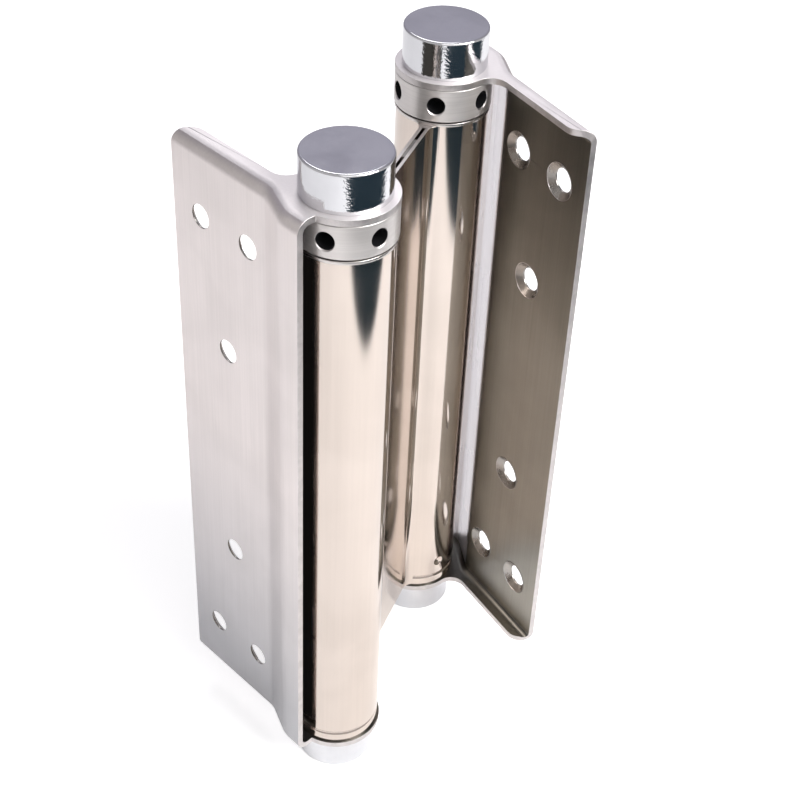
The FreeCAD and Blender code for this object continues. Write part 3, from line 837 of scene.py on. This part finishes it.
        # Painted shade on the walls of the screw holes.
        assign(piece, 6, self.in_hole)
        Bench.soften(piece, 0.16, 2, 32)
        log.info("leaf plate from %.1f to %.1f mm", outer / MM, inner / MM)
        return piece

    def inside(self, points: Sequence[Vector]) -> bool:
        """Tell whether a face is on the leaf's barrel side."""
        middle = sum(points, Vector()) / len(points) / MM
        level = self.half_tall - self.fold
        skin = self.outer_face(middle.x)
        if abs(middle.z) <= level:
            return middle.y > skin + self.stock - 0.4
        if middle.y < skin + self.fold:
            away = math.hypot(middle.y - skin - self.fold, abs(middle.z) - level)
            return away < self.fold - self.stock + 0.4
        return abs(middle.z) < self.half_tall - self.stock + 0.3

    def on_bend(self, points: Sequence[Vector]) -> bool:
        """Tell whether a face is on the barrel side of the plate's step."""
        middle = sum(points, Vector()) / len(points) / MM
        return middle.x > self.step_begin + 0.6 and abs(middle.z) < self.half_tall - self.fold and self.inside(points)

    def under_fold(self, points: Sequence[Vector]) -> bool:
        """Tell whether a face is on the inner side of a flange, past the fold's corner."""
        middle = sum(points, Vector()) / len(points) / MM
        return abs(middle.z) > self.half_tall - self.fold + 0.6 and self.inside(points)

    def on_flange(self, points: Sequence[Vector]) -> bool:
        """Tell whether a face is on the flat outer side of a flange or ear."""
        return all(abs(point.z) > (self.half_tall - 0.5) * MM for point in points)

    def in_hole(self, points: Sequence[Vector]) -> bool:
        """Tell whether a face is the wall of a screw hole."""
        middle = sum(points, Vector()) / len(points) / MM
        if not self.face - 0.01 < middle.y < self.face + self.stock + 0.01 or len(points) > 8:
            return False
        for east, up in self.screw_spots():
            gap = math.hypot(middle.x - east, middle.z - up)
            if self.screw - 0.2 < gap < self.sink + 0.2 and self.face + 0.02 < middle.y < self.face + self.stock - 0.02:
                return True
        return False

    def screw_spots(self) -> list[tuple[float, float]]:
        """East and height of the six screw holes."""
        near, far = self.columns
        spots = [(-column, sign * self.rows[0]) for column in (near, far) for sign in (1, -1)]
        spots += [(-(near + far) / 2, sign * self.rows[1]) for sign in (1, -1)]
        return spots

    def drills(self) -> bpy.types.Object:
        """Shape one stepped drill and copy it to all six holes.

        Returns:
            The joined cutting tools.
        """
        bpy.ops.object.select_all(action="DESELECT")
        deep = self.stock - self.sink_deep
        bpy.ops.mesh.primitive_cylinder_add(vertices=self.screw_sides, radius=self.screw * MM, depth=(deep + 1) * MM,
                                            rotation=(-math.pi / 2, 0, 0),
                                            location=(0, (self.face + (deep - 1) / 2) * MM, 0))
        drill = bpy.context.active_object
        drill.name = "screw_drill"
        bpy.ops.object.transform_apply()
        tip = (self.face + deep) * MM
        with Bench.editing(drill, Part.FACES):
            Bench.pick(drill, Part.FACES, lambda p: all(abs(v.y - tip) < 1e-6 for v in p))
            Bench.extrude(0, self.sink_deep, 0)
            grow = self.sink / self.screw
            Bench.resize(grow, 1, grow, Vector((0, tip, 0)))
            Bench.extrude(0, 1, 0)
        tools = []
        for east, up in self.screw_spots():
            twin = Bench.copy(drill, "screw_drill_copy")
            twin.location = (east * MM, 0, up * MM)
            bpy.ops.object.transform_apply()
            tools.append(twin)
        bpy.data.objects.remove(drill, do_unlink=True)
        return Bench.join(tools)

    def build(self, layout: Layout) -> None:
        """Make both leaves and hand them over.

        Args:
            layout: The hinge's plan.
        """
        first = self.blank()
        for side in Side:
            leaf = first if side is Side.DOOR else Bench.copy(first, "leaf_twin")
            leaf.name = side.value + "_leaf_sheet"
            Bench.place(leaf, layout.seat(side))
            seat_piece(leaf, side.value + "_leaf", "leaf_metal", side.value + "_leaf")
            self.pieces.append(leaf)


@dataclass
class EndCaps:
    """Polished caps on the spindle's ends."""

    radius: float = 12.3
    low: float = 100.0
    tall: float = 11.6
    edge: float = 0.7
    pieces: list[bpy.types.Object] = field(default_factory=list)

    def puck(self) -> bpy.types.Object:
        """Shape an upper cap with a rounded top edge and three inset rings on its flat top face.

        Returns:
            The cap about the world's axis.
        """
        piece = Bench.drum("cap_blank", self.radius, self.low, self.low + self.tall, 192)
        high = (self.low + self.tall) * MM
        with Bench.editing(piece, Part.EDGES):
            Bench.pick(piece, Part.EDGES, lambda p: all(abs(v.z - high) < 1e-6 for v in p))
            bpy.ops.mesh.bevel(offset=self.edge * MM, segments=6, affect="EDGES")
            Bench.pick(piece, Part.EDGES, lambda p: all(abs(v.z - self.low * MM) < 1e-6 for v in p))
            bpy.ops.mesh.bevel(offset=0.25 * MM, segments=2, affect="EDGES")
            Bench.pick(piece, Part.FACES, lambda p: len(p) > 8 and all(abs(v.z - high) < 1e-6 for v in p))
            for step in range(3):
                bpy.ops.mesh.inset(thickness=2.4 * MM)
        Bench.smooth(piece, 40)
        return piece

    def build(self, layout: Layout) -> None:
        """Make the four caps and hand them over.

        Args:
            layout: The hinge's plan.
        """
        first = self.puck()
        dress(first, Finish.CAP)
        for side in Side:
            for end, flip in (("top", 0.0), ("bottom", math.pi)):
                cap = Bench.copy(first, "%s_%s_cap_polished" % (side.value, end))
                cap.rotation_euler = (flip, 0, 0)
                bpy.ops.object.transform_apply()
                Bench.place(cap, layout.seat(side), 0.0)
                seat_piece(cap, side.value + "_leaf", "cap_metal", "%s_%s_cap" % (side.value, end))
                self.pieces.append(cap)
        bpy.data.objects.remove(first, do_unlink=True)


@dataclass
class Collars:
    """Tension collars with six radial holes, and the bush and washer under each."""

    radius: float = 14.1
    low: float = 88.05
    high: float = 97.9
    edge: float = 0.35
    hole: float = 2.6
    hole_level: float = 93.0
    hole_deep: float = 8.0
    flare_from: float = 13.72
    turns: dict[Side, float] = field(default_factory=lambda: {Side.FRAME: -3.7, Side.DOOR: 6.5})
    bush_radius: float = 13.9
    bush_low: float = 86.5
    bush_high: float = 87.5
    ring_radius: float = 12.6
    pieces: list[bpy.types.Object] = field(default_factory=list)

    def ring(self) -> bpy.types.Object:
        """Turn the collar and drill its six flared holes.

        Returns:
            The collar about the world's axis.
        """
        piece = Bench.drum("collar_blank", self.radius, self.low, self.high, 360)
        low, high = self.low * MM, self.high * MM
        with Bench.editing(piece, Part.EDGES):
            Bench.pick(piece, Part.EDGES, lambda p: all(abs(v.z - low) < 1e-6 for v in p)
                       or all(abs(v.z - high) < 1e-6 for v in p))
            bpy.ops.mesh.bevel(offset=self.edge * MM, segments=3, affect="EDGES")
        bpy.ops.object.select_all(action="DESELECT")
        inner = self.radius - self.hole_deep
        length = self.flare_from - inner
        bpy.ops.mesh.primitive_cylinder_add(vertices=64, radius=self.hole * MM, depth=length * MM,
                                            rotation=(0, math.pi / 2, 0),
                                            location=((inner + length / 2) * MM, 0, self.hole_level * MM))
        drill = bpy.context.active_object
        bpy.ops.object.transform_apply()
        mouth = self.flare_from * MM
        with Bench.editing(drill, Part.FACES):
            Bench.pick(drill, Part.FACES, lambda p: all(abs(v.x - mouth) < 1e-6 for v in p))
            Bench.extrude(1.0, 0, 0)
            grow = (self.hole + 0.9) / self.hole
            Bench.resize(1, grow, grow, Vector((mouth, 0, self.hole_level * MM)))
        tools = []
        for step in range(6):
            twin = Bench.copy(drill, "tommy_drill")
            twin.rotation_euler = (0, 0, math.radians(60 * step))
            bpy.ops.object.transform_apply()
            tools.append(twin)
        bpy.data.objects.remove(drill, do_unlink=True)
        Bench.cut(piece, Bench.join(tools))
        dress(piece, Finish.COLLAR, Finish.SHADED_BORE, Finish.CUT)
        # Painted shade inside the radial holes.
        assign(piece, 1, self.in_bore)
        assign(piece, 2, self.on_flare)
        Bench.smooth(piece, 30)
        return piece

    def in_bore(self, points: Sequence[Vector]) -> bool:
        """Tell whether a face is a hole's wall or bottom."""
        middle = sum(points, Vector()) / len(points) / MM
        inside = math.hypot(middle.x, middle.y) < self.flare_from - 0.02
        return inside and self.low + 0.5 < middle.z < self.high - 0.5

    def on_flare(self, points: Sequence[Vector]) -> bool:
        """Tell whether a face is a hole's broken rim."""
        middle = sum(points, Vector()) / len(points) / MM
        reach = math.hypot(middle.x, middle.y)
        if self.in_bore(points) or not self.low + 0.5 < middle.z < self.high - 0.5:
            return False
        normal = (points[1] - points[0]).cross(points[2] - points[1])
        outward = Vector((middle.x, middle.y, 0)).normalized()
        return reach < self.radius - 0.01 and normal.length > 0 and abs(normal.normalized().dot(outward)) < 0.95

    def build(self, layout: Layout) -> None:
        """Make collars, bushes and washers and hand them over.

        Args:
            layout: The hinge's plan.
        """
        first = self.ring()
        bush = Bench.drum("bush_blank", self.bush_radius, self.bush_low, self.bush_high, 256)
        dress(bush, Finish.BUSH)
        Bench.soften(bush, 0.18, 3)
        washer = Bench.drum("washer_blank", self.ring_radius, self.bush_high, self.low - 0.02, 192)
        dress(washer, Finish.WASHER)
        Bench.soften(washer, 0.08, 2)
        for side in Side:
            seat = layout.seat(side)
            ring = Bench.copy(first, side.value + "_collar_drilled")
            Bench.place(ring, seat, self.turns[side])
            seat_piece(ring, side.value + "_collar", "collar_metal", side.value + "_tension_collar")
            lip = Bench.copy(bush, side.value + "_bush_lip")
            Bench.place(lip, seat, 0.0)
            seat_piece(lip, "barrels", "bush_metal", side.value + "_upper_bush")
            disc = Bench.copy(washer, side.value + "_washer_disc")
            Bench.place(disc, seat, 0.0)
            seat_piece(disc, "barrels", "washer_black", side.value + "_collar_washer")
            self.pieces += [ring, lip, disc]
        for spare in (first, bush, washer):
            bpy.data.objects.remove(spare, do_unlink=True)


@dataclass
class Barrels:
    """Two rolled tubes, the double web between them and the strips that space its layers."""

    radius: float = 13.5
    stock: float = 1.0
    top: float = 86.5
    foot: float = -97.8
    slot: float = 0.9
    closed: float = 2.1
    root: float = 3.5
    crimp_level: float = -94.2
    crimp_half: float = 0.9
    crimp_deep: float = 0.45
    dimple_level: float = -88.1
    dimple_ball: float = 2.9
    dimple_deep: float = 0.75
    dimple_turn: float = 236.1
    spacer: tuple[float, float] = (5.3, 15.5)
    pieces: list[bpy.types.Object] = field(default_factory=list)

    def tube(self, half: float) -> bpy.types.Object:
        """Roll one tube about the world's axis with its crimped line and dimple.

        Args:
            half: Distance from the tube's axis to the middle of the web.

        Returns:
            The tube.
        """
        piece = Bench.drum("tube_blank", self.radius, self.foot, self.top, 256)
        levels = [self.crimp_level + self.crimp_half * part for part in (-1, -0.75, -0.5, -0.25, 0, 0.25, 0.5, 0.75, 1)]
        with Bench.editing(piece):
            for level in levels:
                bpy.ops.mesh.select_all(action="SELECT")
                bpy.ops.mesh.bisect(plane_co=(0, 0, level * MM), plane_no=(0, 0, 1))
            for level in levels[1:-1]:
                part = (level - self.crimp_level) / self.crimp_half
                depth = self.crimp_deep * 0.5 * (1 + math.cos(math.pi * part))
                scale = 1 - depth / self.radius
                Bench.pick(piece, Part.VERTS, lambda p, z=level: abs(p[0].z - z * MM) < 1e-6)
                Bench.resize(scale, scale, 1, Vector((0, 0, level * MM)))
            for level in (self.foot, self.top):
                Bench.pick(piece, Part.FACES, lambda p, z=level: len(p) > 8 and all(abs(v.z - z * MM) < 1e-6 for v in p))
                bpy.ops.mesh.inset(thickness=self.stock * MM)
                Bench.extrude(0, 0, -6 if level > 0 else 2)
        dress(piece, Finish.TUBE)
        bpy.ops.object.select_all(action="DESELECT")
        away = (self.radius + self.dimple_ball - self.dimple_deep) * MM
        turn = math.radians(self.dimple_turn)
        bpy.ops.mesh.primitive_uv_sphere_add(segments=48, ring_count=24, radius=self.dimple_ball * MM,
                                             location=(away * math.cos(turn), away * math.sin(turn),
                                                       self.dimple_level * MM))
        ball = bpy.context.active_object
        bpy.ops.object.transform_apply()
        Bench.cut(piece, ball)
        Bench.smooth(piece, 30)
        log.info("tube stands %.2f mm from the web's middle", half)
        return piece

    def web(self, half: float) -> bpy.types.Object:
        """Extrude the double web with its hollow roots and cut the gap between its layers.

        Args:
            half: Distance from a tube's axis to the middle of the web.

        Returns:
            The web about its own middle, lying along the X axis.
        """
        thick = self.slot / 2 + self.stock
        lift = thick + self.root
        middle = half - math.sqrt((self.radius + self.root) ** 2 - lift ** 2)
        piece = Bench.block("barrel_web", (-middle, -thick, self.foot), (middle, thick, self.top))
        finish = math.atan2(-lift, half - middle)
        with Bench.editing(piece, Part.FACES):
            for sign in (1, -1):
                here, wide = middle, thick
                Bench.pick(piece, Part.FACES, lambda p, s=sign: all(abs(v.x - s * middle * MM) < 1e-6 for v in p))
                for step in range(1, 13):
                    turn = -math.pi / 2 + (finish + math.pi / 2) * step / 12
                    east = middle + self.root * math.cos(turn)
                    north = lift + self.root * math.sin(turn)
                    Bench.extrude(sign * (east - here), 0, 0)
                    Bench.resize(1, north / wide, 1, Vector((0, 0, 0)))
                    here, wide = east, north
                Bench.extrude(sign * 0.5, 0, 0)
        gap = half - self.radius - self.closed
        tool = Bench.block("web_gap_tool", (-gap, -self.slot / 2, self.foot - 1), (gap, self.slot / 2, self.top + 1))
        dress(piece, Finish.TUBE, Finish.CUT)
        Bench.cut(piece, tool)
        ends = (self.foot * MM, self.top * MM)
        assign(piece, 1, lambda p: any(all(abs(v.z - end) < 1e-6 for v in p) for end in ends))
        Bench.soften(piece, 0.12, 2, 40)
        return piece

    def build(self, layout: Layout) -> None:
        """Make tubes, web and spacers and hand them over.

        Args:
            layout: The hinge's plan.
        """
        half = layout.space / 2
        tube = self.tube(half)
        twin = Bench.copy(tube, "tube_twin")
        tube.location = (half * MM, 0, 0)
        Bench.hold(tube)
        bpy.ops.object.transform_apply()
        twin.rotation_euler = (0, 0, math.pi)
        twin.location = (-half * MM, 0, 0)
        Bench.hold(twin)
        bpy.ops.object.transform_apply()
        web = self.web(half)
        sheet = Bench.join([tube, twin, web])
        sheet.name = "barrel_rolled_sheet"
        Bench.place(sheet, layout.web)
        seat_piece(sheet, "barrels", "tube_metal", "barrel_sheet")
        self.pieces.append(sheet)
        for side, sign in ((Side.FRAME, -1), (Side.DOOR, 1)):
            near, far = sorted(sign * edge for edge in self.spacer)
            strip = Bench.block(side.value + "_spacer_strip", (near, -self.slot / 2, self.foot + 0.15),
                                (far, self.slot / 2, self.top - 0.15))
            dress(strip, Finish.DARK_SPACER)
            Bench.soften(strip, 0.08, 2)
            Bench.place(strip, layout.web)
            seat_piece(strip, "barrels", "spacer_metal", side.value + "_web_spacer")
            self.pieces.append(strip)


@dataclass(frozen=True)
class Works:
    """Finishes of the CAD nodes that stay as they are, most of them inside the barrels."""

    def build(self) -> None:
        """Dress every CAD node that no piece stands for."""
        finishes = {"spindle": Finish.BUSH, "spring": Finish.SPRING, "lower_plug": Finish.BUSH,
                    "foot_washer": Finish.WASHER}
        for name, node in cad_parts.items():
            for tail, finish in finishes.items():
                if name.endswith(tail):
                    for slot in node.material_slots:
                        slot.material = finish.material
                    if not node.material_slots:
                        node.data.materials.append(finish.material)


@dataclass(frozen=True)
class Softbox:
    """One square lamp: where it hangs, its side in metres, its power in watts and its colour."""

    name: str
    spot: tuple[float, float, float]
    size: float
    power: float
    tint: tuple[float, float, float] = (1.0, 1.0, 1.0)


@dataclass(frozen=True)
class DarkCard:
    """A dark card that only shiny surfaces see, in millimetres and degrees: lying on the table it is a photographer's
    card; standing inside the hinge it is painted shade in a gap.
    """

    name: str
    middle: tuple[float, float, float]
    wide: float
    tall: float
    turn: float
    upright: bool
    soft: float
    colour: tuple[float, float, float]

    def stand(self) -> None:
        """Set the card up, with edges that soften over a few millimetres."""
        bpy.ops.object.select_all(action="DESELECT")
        tilt = -math.pi / 2 if self.upright else 0.0
        bpy.ops.mesh.primitive_plane_add(size=1.0, location=[v * MM for v in self.middle],
                                         rotation=(tilt, 0.0, math.radians(self.turn)))
        card = bpy.context.active_object
        card.name = self.name
        card.scale = (self.wide * MM, self.tall * MM, 1.0)
        bpy.ops.object.transform_apply()
        material = bpy.data.materials.new(self.name)
        material.use_nodes = True
        tree = material.node_tree
        nodes, links = tree.nodes, tree.links
        nodes.remove(nodes["Principled BSDF"])
        coords = nodes.new("ShaderNodeTexCoord")
        split = nodes.new("ShaderNodeSeparateXYZ")
        links.new(coords.outputs["UV"], split.inputs[0])
        masks = []
        for axis, length in ((0, self.wide), (1, self.tall)):
            inward = NodeBook.math(tree, "PINGPONG", split.outputs[axis], 0.5)
            ramp = nodes.new("ShaderNodeMapRange")
            ramp.interpolation_type = "SMOOTHSTEP"
            ramp.inputs["From Max"].default_value = self.soft / length
            links.new(inward, ramp.inputs["Value"])
            masks.append(ramp.outputs["Result"])
        sides = nodes.new("ShaderNodeNewGeometry")
        front = NodeBook.math(tree, "SUBTRACT", 1.0, sides.outputs["Backfacing"])
        whole = NodeBook.math(tree, "MULTIPLY", NodeBook.math(tree, "MULTIPLY", *masks), front)
        clear = nodes.new("ShaderNodeBsdfTransparent")
        dark = nodes.new("ShaderNodeEmission")
        dark.inputs["Color"].default_value = (*self.colour, 1.0)
        mix = nodes.new("ShaderNodeMixShader")
        links.new(whole, mix.inputs["Fac"])
        links.new(clear.outputs[0], mix.inputs[1])
        links.new(dark.outputs[0], mix.inputs[2])
        links.new(mix.outputs[0], nodes["Material Output"].inputs["Surface"])
        card.data.materials.append(material)
        card.visible_camera = False
        card.visible_diffuse = False
        card.visible_shadow = False
        card.visible_transmission = False


@dataclass(frozen=True)
class Studio:
    """Pale table, soft lamps and the camera of the photograph."""

    floor_level: float = -111.6
    glow: float = 0.08
    lift: float = 0.5
    camera_spot: tuple[float, float, float] = (287.3365, -221.9692, 315.4777)
    camera_turn: tuple[float, float, float] = (50.9699, -2.17724, 46.3583)
    lens: float = 73.0127
    wall_way: tuple[float, float, float] = (-0.61, 0.62, 0.49)
    lamps: tuple[Softbox, ...] = (
        Softbox("side_softbox", (1.0, 0.30, 0.90), 0.8, 20.0),
        Softbox("top_softbox", (-0.60, 0.54, 0.98), 0.42, 2.3),
        Softbox("front_softbox", (0.95, -0.5, 1.15), 1.0, 3.0),
    )
    cards: tuple[DarkCard, ...] = (
        DarkCard("right_card", (798.0, 150.0, -110.8), 1100.0, 1200.0, 10.0, False, 16.0, (0.024, 0.040, 0.053)),
        # Painted shade: a dark sheet standing just off the frame leaf's barrel side, seen only in reflections.
        DarkCard("plate_painted_shade_card", (-2.0, 2.7, 0.0), 40.0, 196.0, 0.0, True, 1.5, (0.06, 0.056, 0.05)),
        # Painted shade: a near black sheet standing in the gap between the frame leaf's step and its tube, seen only in
        # reflections.
        DarkCard("step_gap_painted_shade_card", (25.2, 0.1, 0.0), 16.4, 188.0, -17.0, True, 0.5, (0.006, 0.006, 0.006)),
    )

    def floor(self) -> None:
        """Lay the pale table: white to the camera and in the metal, with the object's shadow on it."""
        bpy.ops.object.select_all(action="DESELECT")
        bpy.ops.mesh.primitive_plane_add(size=6.0, location=(0, 0, self.floor_level * MM))
        floor = bpy.context.active_object
        floor.name = "studio_floor"
        bpy.ops.object.transform_apply()
        material = bpy.data.materials.new("pale_floor")
        material.use_nodes = True
        tree = material.node_tree
        nodes, links = tree.nodes, tree.links
        shader = nodes["Principled BSDF"]
        shader.inputs["Base Color"].default_value = (0.9, 0.9, 0.9, 1)
        shader.inputs["Roughness"].default_value = 0.9
        shader.inputs["Specular IOR Level"].default_value = 0.0
        shader.inputs["Emission Color"].default_value = (1, 1, 1, 1)
        path = nodes.new("ShaderNodeLightPath")
        seen = NodeBook.math(tree, "MAXIMUM", path.outputs["Is Glossy Ray"], path.outputs["Is Transmission Ray"])
        seen = NodeBook.math(tree, "MULTIPLY", seen, self.glow)
        direct = NodeBook.math(tree, "MULTIPLY", path.outputs["Is Camera Ray"], self.lift)
        links.new(NodeBook.math(tree, "ADD", seen, direct), shader.inputs["Emission Strength"])
        floor.data.materials.append(material)

    def hang(self, box: Softbox) -> None:
        """Hang one softbox that looks at the hinge.

        Args:
            box: The lamp's description.
        """
        data = bpy.data.lights.new(box.name, "AREA")
        data.size = box.size
        data.energy = box.power
        data.color = box.tint
        lamp = bpy.data.objects.new(box.name, data)
        bpy.context.scene.collection.objects.link(lamp)
        lamp.location = box.spot
        lamp.rotation_mode = "QUATERNION"
        lamp.rotation_quaternion = (Vector((0.0, 0.05, 0.0)) - Vector(box.spot)).to_track_quat("-Z", "Y")

    def sky(self) -> None:
        """Set the room: white behind for the camera, a pale wall on one side, dim elsewhere."""
        world = bpy.data.worlds.new("studio_room")
        bpy.context.scene.world = world
        world.use_nodes = True
        tree = world.node_tree
        nodes, links = tree.nodes, tree.links
        back = nodes["Background"]
        coords = nodes.new("ShaderNodeTexCoord")
        facing = nodes.new("ShaderNodeVectorMath")
        facing.operation = "DOT_PRODUCT"
        links.new(coords.outputs["Generated"], facing.inputs[0])
        facing.inputs[1].default_value = self.wall_way
        spread = NodeBook.math(tree, "ADD", NodeBook.math(tree, "MULTIPLY", facing.outputs["Value"], 0.5), 0.5)
        walls = self.ramp(tree, spread, ((0.34, (0.54, 0.53, 0.53)), (0.58, (0.54, 0.53, 0.53)), (0.76, (0.32, 0.315, 0.34)),
                                         (0.93, (0.34, 0.33, 0.39)), (1.0, (0.40, 0.39, 0.46))))
        path = nodes.new("ShaderNodeLightPath")
        shown = nodes.new("ShaderNodeMix")
        shown.data_type = "RGBA"
        links.new(path.outputs["Is Camera Ray"], shown.inputs["Factor"])
        links.new(walls, shown.inputs["A"])
        shown.inputs["B"].default_value = (1.0, 1.0, 1.0, 1.0)
        links.new(shown.outputs["Result"], back.inputs["Color"])
        back.inputs["Strength"].default_value = 1.0

    @staticmethod
    def ramp(tree: bpy.types.NodeTree, value: bpy.types.NodeSocket,
             stops: Sequence[tuple[float, tuple[float, float, float]]]) -> bpy.types.NodeSocket:
        """Add a colour ramp.

        Args:
            tree: The node tree.
            value: What the ramp reads.
            stops: Position and colour of each stop.

        Returns:
            The ramp's colour.
        """
        node = tree.nodes.new("ShaderNodeValToRGB")
        bar = node.color_ramp.elements
        for index, (spot, colour) in enumerate(stops):
            stop = bar[index] if index < 2 else bar.new(spot)
            stop.position = spot
            stop.color = (*colour, 1.0)
        tree.links.new(value, node.inputs["Fac"])
        return node.outputs["Color"]

    def camera(self) -> None:
        """Set the camera where the photograph was taken from."""
        data = bpy.data.cameras.new("camera")
        data.sensor_width = 36.0
        data.lens = self.lens
        data.clip_start = 0.01
        camera = bpy.data.objects.new("camera", data)
        bpy.context.scene.collection.objects.link(camera)
        camera.location = Vector(self.camera_spot) * MM
        camera.rotation_euler = [math.radians(turn) for turn in self.camera_turn]
        bpy.context.scene.camera = camera

    def build(self) -> None:
        """Set up the whole studio."""
        self.floor()
        for card in self.cards:
            card.stand()
        self.sky()
        for box in self.lamps:
            self.hang(box)
        self.camera()
        bpy.context.scene.view_settings.view_transform = "Standard"


def main() -> None:
    """Build the hinge piece by piece."""
    logging.basicConfig(level=logging.INFO, format="%(name)s: %(message)s")
    layout = Layout()
    Studio().build()
    Works().build()
    Leaf().build(layout)
    EndCaps().build(layout)
    Collars().build(layout)
    Barrels().build(layout)


if __name__ == "__main__":
    main()
